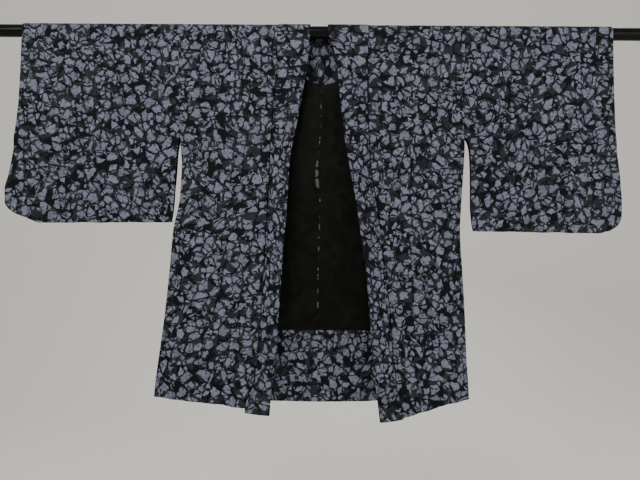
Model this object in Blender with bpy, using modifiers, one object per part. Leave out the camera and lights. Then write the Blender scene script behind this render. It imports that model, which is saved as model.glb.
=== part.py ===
"""A lined haori jacket hanging open on a plain round rod.

The rod runs along X through both sleeves. The front of the jacket faces -Y and its back +Y.
Right and left are the wearer's, so the right sleeve lies at -X. Sizes are in metres, +Z is up
and the origin is the middle of the rod.

A place on the cloth is given by x and by the run of cloth from the top of the rod: the first
quarter turn lies on the rod and the rest hangs below it. Every wall shares the same heights of
its sections, so that edges that are sewn together match point for point.
"""

import math
from collections import namedtuple

import bpy
from mathutils import Vector

# Driving sizes
ROD_RADIUS = 0.014
ROD_LENGTH = 1.46
ROD_EDGE = 0.001
ROD_SIDES = 64
CLOTH = 0.0016
LINING = 0.0010
COLLAR = 0.0030
REST_GAP = 0.0005
SEAM = 0.0003
SHOULDER_GAP = 0.0005
LAYER_GAP = 0.0003

FRONT = -1
BACK = 1
QUARTER_RUN = (ROD_RADIUS + REST_GAP + CLOTH / 2) * math.pi / 2
ROD_STEPS = 5

# Heights of the sections below the rod, shared by every hanging wall
UPPER_HEIGHTS = (-0.035, -0.075, -0.115, -0.155, -0.195, -0.24)
LOWER_HEIGHTS = (-0.285, -0.33, -0.375, -0.42, -0.465, -0.515, -0.565, -0.615, -0.664, -0.71,
                 -0.755, -0.795)
TURN_UP_TOP = -0.664
LINING_TOP = -0.019
NECK_EDGE_STEP = 0.0006

# Outline of the right half, read down the garment: side seam, collar seam and free collar edge
Outline = namedtuple("Outline", "z side seam edge")
RIGHT_OUTLINE = (
    Outline(0.000, -0.3069, -0.0913, -0.0187),
    Outline(-0.070, -0.3069, -0.0913, -0.0245),
    Outline(-0.135, -0.3069, -0.0985, -0.0345),
    Outline(-0.210, -0.3069, -0.1023, -0.0480),
    Outline(-0.250, -0.3042, -0.1060, -0.0565),
    Outline(-0.290, -0.3008, -0.1070, -0.0620),
    Outline(-0.370, -0.3047, -0.1100, -0.0665),
    Outline(-0.440, -0.3179, -0.1133, -0.0715),
    Outline(-0.520, -0.3245, -0.1177, -0.0770),
    Outline(-0.615, -0.3333, -0.1230, -0.0830),
    Outline(-0.720, -0.3465, -0.1330, -0.0910),
    Outline(-0.780, -0.3540, -0.1460, -0.0975),
    Outline(-0.850, -0.3590, -0.1590, -0.1025),
)
LEFT_OUTLINE = (
    Outline(0.000, 0.3216, 0.1089, 0.0200),
    Outline(-0.070, 0.3216, 0.1089, 0.0400),
    Outline(-0.135, 0.3216, 0.1089, 0.0465),
    Outline(-0.210, 0.3216, 0.1120, 0.0554),
    Outline(-0.250, 0.3236, 0.1138, 0.0605),
    Outline(-0.290, 0.3223, 0.1160, 0.0680),
    Outline(-0.370, 0.3175, 0.1290, 0.0830),
    Outline(-0.440, 0.3140, 0.1385, 0.0935),
    Outline(-0.520, 0.3185, 0.1480, 0.1055),
    Outline(-0.615, 0.3240, 0.1600, 0.1140),
    Outline(-0.720, 0.3285, 0.1680, 0.1225),
    Outline(-0.780, 0.3325, 0.1755, 0.1290),
    Outline(-0.860, 0.3365, 0.1925, 0.1384),
)
CENTRE_SEAM = 0.0015

# Lengths below the rod at the side, at the collar seam and at the free collar edge
Lengths = namedtuple("Lengths", "side seam collar edge back")
RIGHT_LENGTHS = Lengths(0.8065, 0.8290, 0.8375, 0.8440, 0.8270)
LEFT_LENGTHS = Lengths(0.8085, 0.8480, 0.8500, 0.8575, 0.8270)

# How far each stretch of cloth swings out from the hang of the rod, read down the garment
Swing = namedtuple("Swing", "z middle side")
FRONT_SWING = (
    Swing(0.00, 0.0, 0.0),
    Swing(-0.10, 0.0, -0.0012),
    Swing(-0.24, 0.0010, -0.0050),
    Swing(-0.33, 0.0035, -0.0070),
    Swing(-0.50, 0.0090, -0.0020),
    Swing(-0.66, 0.0145, 0.0030),
    Swing(-0.87, 0.0200, 0.0070),
)
BACK_SWING = (
    Swing(0.00, 0.0, 0.0),
    Swing(-0.10, 0.0008, -0.0012),
    Swing(-0.24, 0.0020, -0.0050),
    Swing(-0.33, 0.0030, -0.0070),
    Swing(-0.50, 0.0065, -0.0020),
    Swing(-0.66, 0.0110, 0.0025),
    Swing(-0.87, 0.0160, 0.0060),
)
SIDE_ROUNDING = 0.30

# Soft folds: where each starts across the panel, how it leans, and how far it stands out
Fold = namedtuple("Fold", "x top fade lean width depth")
RIGHT_FRONT_FOLDS = (
    Fold(-0.245, -0.30, 0.30, 0.06, 0.040, 0.0045),
    Fold(-0.175, -0.42, 0.25, 0.10, 0.030, -0.0035),
)
LEFT_FRONT_FOLDS = (
    Fold(0.215, -0.22, 0.30, -0.04, 0.045, 0.0045),
    Fold(0.275, -0.36, 0.25, -0.03, 0.028, -0.0030),
)
RIGHT_BACK_FOLDS = (
    Fold(-0.215, -0.25, 0.30, 0.05, 0.050, 0.0050),
    Fold(-0.095, -0.35, 0.30, 0.03, 0.035, -0.0030),
)
LEFT_BACK_FOLDS = (
    Fold(0.225, -0.28, 0.30, -0.05, 0.050, 0.0045),
    Fold(0.100, -0.32, 0.30, -0.02, 0.035, -0.0030),
)

# Gussets fill the sides below the arm openings and are tucked inward
GUSSET_TOP_ROW = 1
GUSSET_TOP_WIDTH = 0.020
GUSSET_HEM_WIDTH = 0.065
GUSSET_COLUMNS = 6
GUSSET_MARGIN = 0.007

# Collar across the back of the neck: a band between two half ellipses behind the rod
NECK_FREE_DROP = 0.027
NECK_SEAM_DROP = 0.137
NECK_SHAPE = 1.15
NECK_STEPS = 5
SHOULDER_COLUMNS = 5
NECK_BULGE = 0.003
NECK_SEAM_GAP = 0.0010
COLLAR_BULGE = 0.0045
COLLAR_COLUMNS = 4
PANEL_COLUMNS = 9

# Sleeves, read down the cuff side: inner edge and outer edge
SleeveEdge = namedtuple("SleeveEdge", "z inner outer")
RIGHT_SLEEVE = (
    SleeveEdge(0.000, -0.3069, -0.6530),
    SleeveEdge(-0.080, -0.3069, -0.6567),
    SleeveEdge(-0.155, -0.3069, -0.6610),
    SleeveEdge(-0.225, -0.3069, -0.6700),
    SleeveEdge(-0.245, -0.3080, -0.6735),
    SleeveEdge(-0.270, -0.3113, -0.6775),
    SleeveEdge(-0.320, -0.3144, -0.6872),
    SleeveEdge(-0.352, -0.3168, -0.6955),
    SleeveEdge(-0.382, -0.3190, -0.6950),
    SleeveEdge(-0.402, -0.3205, -0.6787),
    SleeveEdge(-0.414, -0.3222, -0.6500),
    SleeveEdge(-0.426, -0.3230, -0.6215),
)
LEFT_SLEEVE = (
    SleeveEdge(0.000, 0.3216, 0.6479),
    SleeveEdge(-0.085, 0.3216, 0.6501),
    SleeveEdge(-0.168, 0.3216, 0.6536),
    SleeveEdge(-0.225, 0.3225, 0.6575),
    SleeveEdge(-0.245, 0.3325, 0.6605),
    SleeveEdge(-0.270, 0.3368, 0.6645),
    SleeveEdge(-0.320, 0.3386, 0.6710),
    SleeveEdge(-0.382, 0.3390, 0.6754),
    SleeveEdge(-0.408, 0.3405, 0.6745),
    SleeveEdge(-0.424, 0.3420, 0.6670),
    SleeveEdge(-0.436, 0.3440, 0.6500),
    SleeveEdge(-0.443, 0.3465, 0.6237),
)
SleeveCut = namedtuple("SleeveCut", "name side edges inner_length outer_length crease")
SLEEVES = (
    SleeveCut("sleeve_right", -1, RIGHT_SLEEVE, 0.4235, 0.4262, 0.0035),
    SleeveCut("sleeve_left", 1, LEFT_SLEEVE, 0.4395, 0.4425, 0.0012),
)
SLEEVE_COLUMNS = 12
SLEEVE_LOW_STEPS = (0.16, 0.34, 0.52, 0.64, 0.78, 0.88, 0.95)
CUFF_OPENING = 0.235
CREASE_HEIGHT = -0.352
CREASE_WIDTH = 0.018
SLEEVE_SWING = (
    Swing(0.00, 0.0, 0.0),
    Swing(-0.10, -0.0012, -0.0012),
    Swing(-0.24, -0.0050, -0.0050),
    Swing(-0.33, -0.0070, -0.0070),
    Swing(-0.45, -0.0085, -0.0085),
)
BOTTOM_ROUNDING = 0.055
CUFF_ROUNDING = 0.050
SLEEVE_FOLDS = {
    "sleeve_right": (
        Fold(-0.430, -0.05, 0.15, 0.10, 0.045, 0.0022),
        Fold(-0.560, -0.08, 0.15, 0.05, 0.050, -0.0020),
    ),
    "sleeve_left": (
        Fold(0.425, -0.06, 0.15, -0.06, 0.045, 0.0022),
        Fold(0.545, -0.05, 0.15, -0.12, 0.050, -0.0020),
    ),
}

# Finishes: base colour, roughness, metallic
Finish = namedtuple("Finish", "colour roughness metallic")
PATTERNED = Finish((0.070, 0.078, 0.125, 1.0), 0.70, 0.0)
PLAIN_LINING = Finish((0.008, 0.008, 0.006, 1.0), 0.55, 0.0)
BLACK_PAINT = Finish((0.006, 0.006, 0.007, 1.0), 0.25, 0.0)


def slopes(points):
    """Slope at each (z, value) point, flat at a turn so that a curve never overshoots."""
    steps = [(b[1] - a[1]) / (b[0] - a[0]) for a, b in zip(points, points[1:])]
    inner = [2 * a * b / (a + b) if a * b > 0 else 0.0 for a, b in zip(steps, steps[1:])]
    return [steps[0]] + inner + [steps[-1]]


def along(rows, column, z):
    """Value of a table's column at height z, on a smooth curve through its rows."""
    points = [(row.z, getattr(row, column)) for row in rows]
    if z >= points[0][0]:
        return points[0][1]
    if z <= points[-1][0]:
        return points[-1][1]
    slope = slopes(points)
    for i, (top, low) in enumerate(zip(points, points[1:])):
        if z >= low[0]:
            break
    run = low[0] - top[0]
    t = (z - top[0]) / run
    return ((2 * t ** 3 - 3 * t ** 2 + 1) * top[1] + (t ** 3 - 2 * t ** 2 + t) * run * slope[i]
            + (3 * t ** 2 - 2 * t ** 3) * low[1] + (t ** 3 - t ** 2) * run * slope[i + 1])


def ease(t):
    """Smooth step from 0 to 1."""
    t = min(max(t, 0.0), 1.0)
    return t * t * (3 - 2 * t)


def swell(t):
    """Rounded rise from 0 to 1, steep at the start."""
    return math.sin(math.pi / 2 * min(max(t, 0.0), 1.0))


def fold_depth(folds, x, z):
    """Sum of the soft folds at a place on a panel."""
    total = 0.0
    for fold in folds:
        centre = fold.x + fold.lean * (z - fold.top)
        across = (x - centre) / fold.width
        if abs(across) < 1.0:
            grow = ease((fold.top - z) / fold.fade)
            total += fold.depth * math.cos(math.pi / 2 * across) ** 2 * grow
    return total


def height(run):
    """Height below the rod for a run of cloth past the quarter turn."""
    return QUARTER_RUN - run


def run_at(z):
    """Run of cloth from the top of the rod down to a height below it."""
    return QUARTER_RUN - z


def hang(x, run, face, thickness, depth=0.0):
    """Point in the middle of a wall: on the rod's quarter turn, or hanging below it."""
    reach = ROD_RADIUS + REST_GAP + thickness / 2
    if run < QUARTER_RUN:
        angle = run / QUARTER_RUN * math.pi / 2
        return Vector((x, face * reach * math.sin(angle), reach * math.cos(angle)))
    return Vector((x, face * (reach + depth), height(run)))


def hang_runs(heights):
    """Runs of cloth for the rows on the rod followed by rows at the given heights."""
    turn = [QUARTER_RUN * i / ROD_STEPS for i in range(ROD_STEPS + 1)]
    turn[0] = SHOULDER_GAP / 2
    return turn + [run_at(z) for z in heights]


def panel_swing(rows, across, z):
    """Swing of a body panel; across is 0 at the side and 1 at the middle of the body."""
    side = along(rows, "side", z)
    return side + (along(rows, "middle", z) - side) * swell(across / SIDE_ROUNDING)


def grid_object(name, rows, thickness, finish, collection):
    """Open grid through rows of points, thickened evenly to both sides and smooth shaded."""
    mesh = bpy.data.meshes.new(name)
    columns = len(rows[0])
    faces = []
    for r in range(len(rows) - 1):
        for c in range(columns - 1):
            corner = r * columns + c
            faces.append((corner, corner + 1, corner + columns + 1, corner + columns))
    mesh.from_pydata([point for row in rows for point in row], [], faces)
    mesh.shade_smooth()
    mesh.materials.append(material(name, finish))
    piece = bpy.data.objects.new(name, mesh)
    collection.objects.link(piece)
    wall = piece.modifiers.new("wall", "SOLIDIFY")
    wall.thickness = thickness
    wall.offset = 0.0
    wall.use_even_offset = False
    return piece


def material(name, finish):
    """Material of one piece from a finish."""
    made = bpy.data.materials.new(name)
    made.use_nodes = True
    shader = made.node_tree.nodes["Principled BSDF"]
    shader.inputs["Base Color"].default_value = finish.colour
    shader.inputs["Roughness"].default_value = finish.roughness
    shader.inputs["Metallic"].default_value = finish.metallic
    made.diffuse_color = finish.colour
    return made


def moved(rows, distance):
    """The same rows of points, each moved along the grid's own normal there."""
    last_row, last_column = len(rows) - 1, len(rows[0]) - 1
    out = []
    for r, row in enumerate(rows):
        shifted = []
        for c, point in enumerate(row):
            across = row[min(c + 1, last_column)] - row[max(c - 1, 0)]
            down = rows[min(r + 1, last_row)][c] - rows[max(r - 1, 0)][c]
            shifted.append(point + across.cross(down).normalized() * distance)
        out.append(shifted)
    return out


def toward_front(rows, distance):
    """Rows moved off a back panel toward the front of the garment."""
    lifted = moved(rows, distance)
    middle_row, middle_column = len(rows) // 2, len(rows[0]) // 2
    if lifted[middle_row][middle_column].y > rows[middle_row][middle_column].y:
        lifted = moved(rows, -distance)
    return lifted


def front_rows(outline, lengths, folds, side):
    """Rows of a front panel from the side seam to the collar seam."""
    rows = []
    runs = hang_runs(UPPER_HEIGHTS + LOWER_HEIGHTS) + [None]
    for run in runs:
        row = []
        for c in range(PANEL_COLUMNS + 1):
            across = c / PANEL_COLUMNS
            hem = lengths.side + (lengths.seam - lengths.side) * across ** 1.3
            here = run_at(-hem) if run is None else run
            z = height(here)
            outer = along(outline, "side", z)
            inner = along(outline, "seam", z) + side * SEAM
            x = outer + (inner - outer) * across
            depth = panel_swing(FRONT_SWING, across, z) + fold_depth(folds, x, z)
            row.append(hang(x, here, FRONT, CLOTH, depth))
        rows.append(row)
    return rows


def collar_rows(outline, lengths, folds):
    """Rows of a front collar from its seam to its free edge, a little crowned."""
    rows = []
    runs = hang_runs(UPPER_HEIGHTS + LOWER_HEIGHTS) + [None]
    for run in runs:
        row = []
        for c in range(COLLAR_COLUMNS + 1):
            across = c / COLLAR_COLUMNS
            hem = lengths.collar + (lengths.edge - lengths.collar) * across
            here = run_at(-hem) if run is None else run
            z = height(here)
            seam = along(outline, "seam", z)
            x = seam + (along(outline, "edge", z) - seam) * across
            depth = panel_swing(FRONT_SWING, 1.0, z) + fold_depth(folds, seam, z)
            crown = COLLAR_BULGE * math.sin(math.pi * across) * ease(-z / 0.15)
            row.append(hang(x, here, FRONT, COLLAR, depth + crown))
        rows.append(row)
    return rows


def neck_line(turn, right_x, left_x, drop, shoulder):
    """Point (x, run) of a half ellipse behind the neck; turn goes from 0 at the right to 1."""
    middle = (right_x + left_x) / 2
    x = middle - (left_x - right_x) / 2 * math.cos(math.pi * turn)
    return x, max(drop * math.sin(math.pi * turn) ** NECK_SHAPE, shoulder)


def neck_free_edge(turn, seam_run):
    """Point (x, run) of the collar's free edge: straight over the rod, then a dip behind it."""
    right, left = RIGHT_OUTLINE[0].edge, LEFT_OUTLINE[0].edge
    start = turn_at(QUARTER_RUN)
    along_dip = min(max((turn - start) / (1 - 2 * start), 0.0), 1.0)
    x = (right + left) / 2 - (left - right) / 2 * math.cos(math.pi * along_dip)
    dip = (NECK_FREE_DROP - QUARTER_RUN) * math.sin(math.pi * along_dip)
    return x, min(seam_run, QUARTER_RUN) + dip


def turn_at(run):
    """Turn along the neck seam where it lies at a run of cloth below the top of the rod."""
    return math.asin((run / NECK_SEAM_DROP) ** (1 / NECK_SHAPE)) / math.pi


def seam_turns():
    """Turns along the neck that the right back, the left back and the neck collar share."""
    right, left = RIGHT_OUTLINE[0].seam, LEFT_OUTLINE[0].seam
    centre = math.acos(((right + left) / 2 - CENTRE_SEAM) / ((left - right) / 2)) / math.pi
    on_rod = [turn_at(QUARTER_RUN * i / ROD_STEPS) for i in range(ROD_STEPS + 1)]
    halves = []
    for length in (centre, 1 - centre):
        hanging = [on_rod[-1] + (length - on_rod[-1]) * i / NECK_STEPS
                   for i in range(1, NECK_STEPS + 1)]
        halves.append(on_rod + hanging)
    return halves[0], [1 - turn for turn in reversed(halves[1])]


def neck_collar_rows():
    """Rows of the collar across the back of the neck, from its free edge to its seam."""
    right_turns, left_turns = seam_turns()
    rows = []
    for turn in right_turns + left_turns[1:]:
        seam = neck_line(turn, RIGHT_OUTLINE[0].seam, LEFT_OUTLINE[0].seam,
                         NECK_SEAM_DROP, SHOULDER_GAP / 2)
        free = neck_free_edge(turn, seam[1])
        row = []
        for c in range(COLLAR_COLUMNS + 1):
            share = c / COLLAR_COLUMNS
            x = free[0] + (seam[0] - free[0]) * share
            run = free[1] + (seam[1] - free[1]) * share
            z = min(height(run), 0.0)
            bulge = NECK_BULGE * math.sin(math.pi * share) * ease(-z / 0.05)
            depth = panel_swing(BACK_SWING, 1.0, z) + bulge
            row.append(hang(x, run, BACK, COLLAR, depth))
        rows.append(row)
    return rows


def back_columns(outline, turns):
    """Top (x, run) of each column of a back panel, from the side to the centre seam."""
    grow = NECK_SEAM_GAP
    right, left = RIGHT_OUTLINE[0].seam - grow, LEFT_OUTLINE[0].seam + grow
    neck = [neck_line(t, right, left, NECK_SEAM_DROP + grow, SHOULDER_GAP / 2) for t in turns]
    if neck[0][1] > neck[-1][1]:
        neck.reverse()
    side = outline[0].side
    start = neck[0][0]
    shoulder = [(side + (start - side) * i / SHOULDER_COLUMNS, SHOULDER_GAP / 2)
                for i in range(SHOULDER_COLUMNS)]
    return shoulder + neck


def back_rows(outline, lengths, folds, turns, side):
    """Rows of a back panel from the side seam to the centre seam, cut out at the neck."""
    tops = back_columns(outline, turns)
    side_x = outline[0].side
    centre = CENTRE_SEAM + side * SEAM / 2
    upper = hang_runs(UPPER_HEIGHTS)
    rows = []
    for r in range(len(upper) + len(LOWER_HEIGHTS) + 1):
        row = []
        for c, (top_x, top_run) in enumerate(tops):
            across = (top_x - side_x) / (CENTRE_SEAM - side_x)
            hem = lengths.side + (lengths.back - lengths.side) * swell(across)
            if r < len(upper) and top_run < SEAM:
                run = upper[r]
            elif r < len(upper):
                run = neck_run(top_run, upper[-1], r)
            elif r < len(upper) + len(LOWER_HEIGHTS):
                run = run_at(LOWER_HEIGHTS[r - len(upper)])
            else:
                run = run_at(-hem)
            z = height(run)
            spread = (along(outline, "side", z) - side_x) * (1 - across)
            x = centre if c == len(tops) - 1 else top_x + spread
            depth = panel_swing(BACK_SWING, across, z) + fold_depth(folds, x, z)
            row.append(hang(x, run, BACK, CLOTH, depth))
        rows.append(row)
    return rows


def neck_run(top_run, low_run, row):
    """Run of cloth at a row of a column that starts at the neck: close rows, then even ones."""
    step = max(NECK_EDGE_STEP, (QUARTER_RUN - top_run) / ROD_STEPS)
    close = top_run + step * min(row, ROD_STEPS)
    steps = len(UPPER_HEIGHTS)
    return close + (low_run - close) * max(row - ROD_STEPS, 0) / steps


def clear_of_gusset(rows):
    """Rows that start a little in from the side seam, where the gusset is sewn on."""
    kept = []
    for row in rows:
        share = GUSSET_MARGIN / (row[1] - row[0]).length
        kept.append([row[0].lerp(row[1], share)] + row[1:])
    return kept


def lining_rows(panel):
    """Rows of the lining inside a back panel, from just below the rod to the turned-up hem."""
    bottom_row = ROD_STEPS + len(UPPER_HEIGHTS) + LOWER_HEIGHTS.index(TURN_UP_TOP) + 1
    rows = panel[ROD_STEPS:bottom_row + 1]
    top = [point.copy() for point in rows[0]]
    for c, point in enumerate(top):
        if point.z > LINING_TOP:
            share = (rows[0][c].z - LINING_TOP) / (rows[0][c].z - rows[1][c].z)
            top[c] = rows[0][c].lerp(rows[1][c], share)
    rows = clear_of_gusset([top] + rows[1:])
    return toward_front(rows, CLOTH / 2 + LAYER_GAP + LINING / 2)


def turn_up_rows(panel):
    """Rows of the cloth turned up inside the hem of a back panel."""
    lift = CLOTH / 2 + LAYER_GAP + LINING / 2
    top_row = ROD_STEPS + len(UPPER_HEIGHTS) + LOWER_HEIGHTS.index(TURN_UP_TOP) + 1
    rows = toward_front(clear_of_gusset(panel[top_row:]), lift)
    rows[0] = [high.lerp(low, SEAM / (high.z - low.z)) for high, low in zip(rows[0], rows[1])]
    return rows


def gusset_rows(front, back, side):
    """Rows of a side gusset between the edges of a front and a back, tucked inward."""
    first = ROD_STEPS + len(UPPER_HEIGHTS) + 1 + GUSSET_TOP_ROW
    clear = CLOTH + SEAM
    rows = []
    top_z = front[first][0].z
    low_z = front[-1][0].z
    for r in range(first, len(front)):
        a, b = front[r][0].copy(), back[r][0].copy()
        a.y += clear
        b.y -= clear
        a.x -= side * CLOTH / 2
        b.x -= side * CLOTH / 2
        span = (b - a).length
        share = (top_z - a.z) / (top_z - low_z)
        width = GUSSET_TOP_WIDTH + (GUSSET_HEM_WIDTH - GUSSET_TOP_WIDTH) * share
        tuck = math.sqrt(max(width ** 2 - span ** 2, 0.0)) / 2
        row = []
        for c in range(GUSSET_COLUMNS + 1):
            t = c / GUSSET_COLUMNS
            point = a.lerp(b, t)
            point.x -= side * tuck * math.sin(math.pi * t)
            row.append(point)
        rows.append(row)
    return rows


def sleeve_rows(sleeve, face):
    """Rows of one side of a sleeve, closed along its bottom and below the cuff opening."""
    low_top = UPPER_HEIGHTS[-1]
    length = min(sleeve.inner_length, sleeve.outer_length)
    heights = UPPER_HEIGHTS + tuple(low_top + (-length - low_top) * f for f in SLEEVE_LOW_STEPS)
    runs = hang_runs(heights) + [None]
    shut = CLOTH / 2 + SEAM / 2
    reach = ROD_RADIUS + REST_GAP + CLOTH / 2
    rows = []
    for run in runs:
        row = []
        for c in range(SLEEVE_COLUMNS + 1):
            across = swell(c / SLEEVE_COLUMNS) * 0.35 + c / SLEEVE_COLUMNS * 0.65
            bottom = sleeve.inner_length + (sleeve.outer_length - sleeve.inner_length) * across
            here = run_at(-bottom) if run is None else run
            z = height(here)
            inner = along(sleeve.edges, "inner", z) + sleeve.side * SEAM
            outer = along(sleeve.edges, "outer", z)
            x = inner + (outer - inner) * across
            swing = along(SLEEVE_SWING, "middle", z)
            swing += fold_depth(SLEEVE_FOLDS[sleeve.name], x, z) * swell((1 - across) * 4)
            swing -= crease_depth(sleeve, across, z)
            open_depth = reach + swing - shut
            full = swell((z + bottom) / BOTTOM_ROUNDING)
            closing = ease((-z - CUFF_OPENING) / 0.03)
            full *= 1 - closing * (1 - swell(abs(outer - x) / CUFF_ROUNDING))
            row.append(hang(x, here, face, CLOTH, shut + open_depth * full - reach))
        rows.append(row)
    return rows


def crease_depth(sleeve, across, z):
    """Pressed crease across the lower sleeve, strongest at the body side."""
    near = 1 - min(abs(z - CREASE_HEIGHT) / CREASE_WIDTH, 1.0)
    return sleeve.crease * near * (1 - 0.6 * across)


def build_rod(collection):
    """Plain round rod along X with slightly eased ends."""
    bpy.ops.mesh.primitive_cylinder_add(vertices=ROD_SIDES, radius=ROD_RADIUS, depth=ROD_LENGTH,
                                        rotation=(0.0, math.pi / 2, 0.0))
    rod = bpy.context.active_object
    rod.name = "rod"
    rod.data.name = "rod"
    for owner in list(rod.users_collection):
        owner.objects.unlink(rod)
    collection.objects.link(rod)
    eased = rod.modifiers.new("eased_ends", "BEVEL")
    eased.width = ROD_EDGE
    eased.segments = 1
    eased.limit_method = "ANGLE"
    eased.angle_limit = math.radians(60)
    rod.data.shade_smooth()
    rod.data.set_sharp_from_angle(angle=math.radians(35))
    rod.data.materials.append(material("rod", BLACK_PAINT))


def build_half(side, collection):
    """Front, collar, back, gusset, lining and turned-up hem of one half of the body."""
    right = side < 0
    word = "right" if right else "left"
    outline = RIGHT_OUTLINE if right else LEFT_OUTLINE
    lengths = RIGHT_LENGTHS if right else LEFT_LENGTHS
    front_folds = RIGHT_FRONT_FOLDS if right else LEFT_FRONT_FOLDS
    back_folds = RIGHT_BACK_FOLDS if right else LEFT_BACK_FOLDS
    turns = seam_turns()[0 if right else 1]
    front = front_rows(outline, lengths, front_folds, side)
    back = back_rows(outline, lengths, back_folds, turns, side)
    collar = collar_rows(outline, lengths, front_folds)
    grid_object("front_" + word, front, CLOTH, PATTERNED, collection)
    grid_object("collar_" + word, collar, COLLAR, PATTERNED, collection)
    grid_object("back_" + word, back, CLOTH, PATTERNED, collection)
    grid_object("gusset_" + word, gusset_rows(front, back, side), CLOTH, PATTERNED, collection)
    grid_object("lining_" + word, lining_rows(back), LINING, PLAIN_LINING, collection)
    grid_object("hem_turn_up_" + word, turn_up_rows(back), LINING, PATTERNED, collection)


def main():
    """Clears the scene and builds the haori on its rod."""
    for old in list(bpy.data.objects):
        bpy.data.objects.remove(old)
    collection = bpy.data.collections.new("haori_on_rod")
    bpy.context.scene.collection.children.link(collection)
    build_rod(collection)
    for side in (-1, 1):
        build_half(side, collection)
    for sleeve in SLEEVES:
        grid_object(sleeve.name + "_front", sleeve_rows(sleeve, FRONT), CLOTH, PATTERNED,
                    collection)
        grid_object(sleeve.name + "_back", sleeve_rows(sleeve, BACK), CLOTH, PATTERNED,
                    collection)
    grid_object("collar_neck", neck_collar_rows(), COLLAR, PATTERNED, collection)


main()
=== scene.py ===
"""Looks of a lined haori hanging open on a black rod.

Right and left are the wearer's. The front faces -Y. A place on the cloth is given by x and by
its run: the length of cloth from the top of the rod, over a quarter turn and down below it.
"""
import logging
import math
from dataclasses import dataclass, field
from enum import Enum

import bmesh
import bpy
import numpy as np
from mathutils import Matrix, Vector, noise


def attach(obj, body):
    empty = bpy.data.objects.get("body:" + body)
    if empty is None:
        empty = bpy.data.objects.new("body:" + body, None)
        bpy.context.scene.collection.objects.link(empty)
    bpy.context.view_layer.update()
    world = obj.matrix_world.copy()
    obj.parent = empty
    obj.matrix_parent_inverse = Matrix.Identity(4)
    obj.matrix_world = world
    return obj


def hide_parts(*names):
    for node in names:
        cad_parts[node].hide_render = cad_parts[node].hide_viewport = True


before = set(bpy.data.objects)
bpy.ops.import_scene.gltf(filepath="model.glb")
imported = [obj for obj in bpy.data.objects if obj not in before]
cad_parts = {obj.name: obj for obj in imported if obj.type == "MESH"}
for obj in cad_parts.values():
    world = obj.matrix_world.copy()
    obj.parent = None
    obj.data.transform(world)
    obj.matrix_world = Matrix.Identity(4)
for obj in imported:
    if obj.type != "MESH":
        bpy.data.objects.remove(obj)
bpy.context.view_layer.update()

LOG = logging.getLogger("haori")

# Sizes shared with the solids, in metres
ROD_RADIUS = 0.014
CLOTH = 0.0016
LINING = 0.0010
COLLAR = 0.0030
REST_GAP = 0.0005
SEAM = 0.0003
LAYER_GAP = 0.0003
QUARTER_RUN = (ROD_RADIUS + REST_GAP + CLOTH / 2) * math.pi / 2
TURN_UP_TOP = -0.664
LINING_TOP = -0.019
CENTRE_SEAM = 0.0015
GUSSET_TOP = -0.33
GUSSET_MARGIN = 0.007
NECK_FREE_DROP = 0.027
NECK_SEAM_DROP = 0.137
NECK_SHAPE = 1.15
NECK_OVERLAP = 0.0012
COLLAR_GROOVE = 0.0028
CUFF_OPENING = 0.235

# Spacing of the fine grid of a cloth, rows on the quarter turn over the rod, the panel's width and
# length that set its columns and rows, and the columns that meet the collar behind the neck
GRID = 0.0052
TURN_ROWS = 8
PANEL_WIDTH = 0.22
PANEL_LENGTH = 0.83
NECK_COLUMNS = 27
NECK_CROWDING = 1.35

# Flat lengths of the smaller pieces
LINING_LENGTH = 0.645
TURN_UP_LENGTH = 0.163

# Distance between the wide wrinkles, the fine ones and those that lie over the rod
WRINKLE = 0.055
FINE_WRINKLE = 0.016
ROD_WRINKLE = 0.035

# Distance below the rod at which cloth hangs free of it
FREE_HANG = 0.06

Array = np.ndarray


class Face(Enum):
    """Side of the rod on which a stretch of cloth hangs, as the sign of its Y."""

    FRONT = -1
    BACK = 1


class Side(Enum):
    """Half of the garment on the wearer's body, as the sign of its X."""

    RIGHT = -1
    LEFT = 1

    @property
    def word(self) -> str:
        """Name of the side in small letters."""
        return self.name.lower()


@dataclass(frozen=True)
class OutlineRow:
    """Edges of one half of the body at a height below the rod."""

    z: float
    side: float
    seam: float
    edge: float


@dataclass(frozen=True)
class SleeveRow:
    """Inner and outer edge of a sleeve at a height below the rod."""

    z: float
    inner: float
    outer: float


@dataclass(frozen=True)
class SwingRow:
    """How far cloth swings out from the rod's hang, at the body's middle and at its side."""

    z: float
    middle: float
    side: float


@dataclass(frozen=True)
class PathRow:
    """Place across the garment of a seam line at a height below the rod."""

    z: float
    x: float


@dataclass(frozen=True)
class Fold:
    """Soft upright fold: where it starts, how it leans and how far it stands out."""

    x: float
    top: float
    fade: float
    lean: float
    width: float
    depth: float


@dataclass(frozen=True)
class Crease:
    """Soft trough or ridge along a line from (x, z) that runs on by (dx, dz)."""

    x: float
    z: float
    dx: float
    dz: float
    width: float
    depth: float


@dataclass(frozen=True)
class Lengths:
    """Lengths below the rod: at the side, both collar edges, the seam and the centre back."""

    side: float
    seam: float
    collar: float
    edge: float
    back: float


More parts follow.
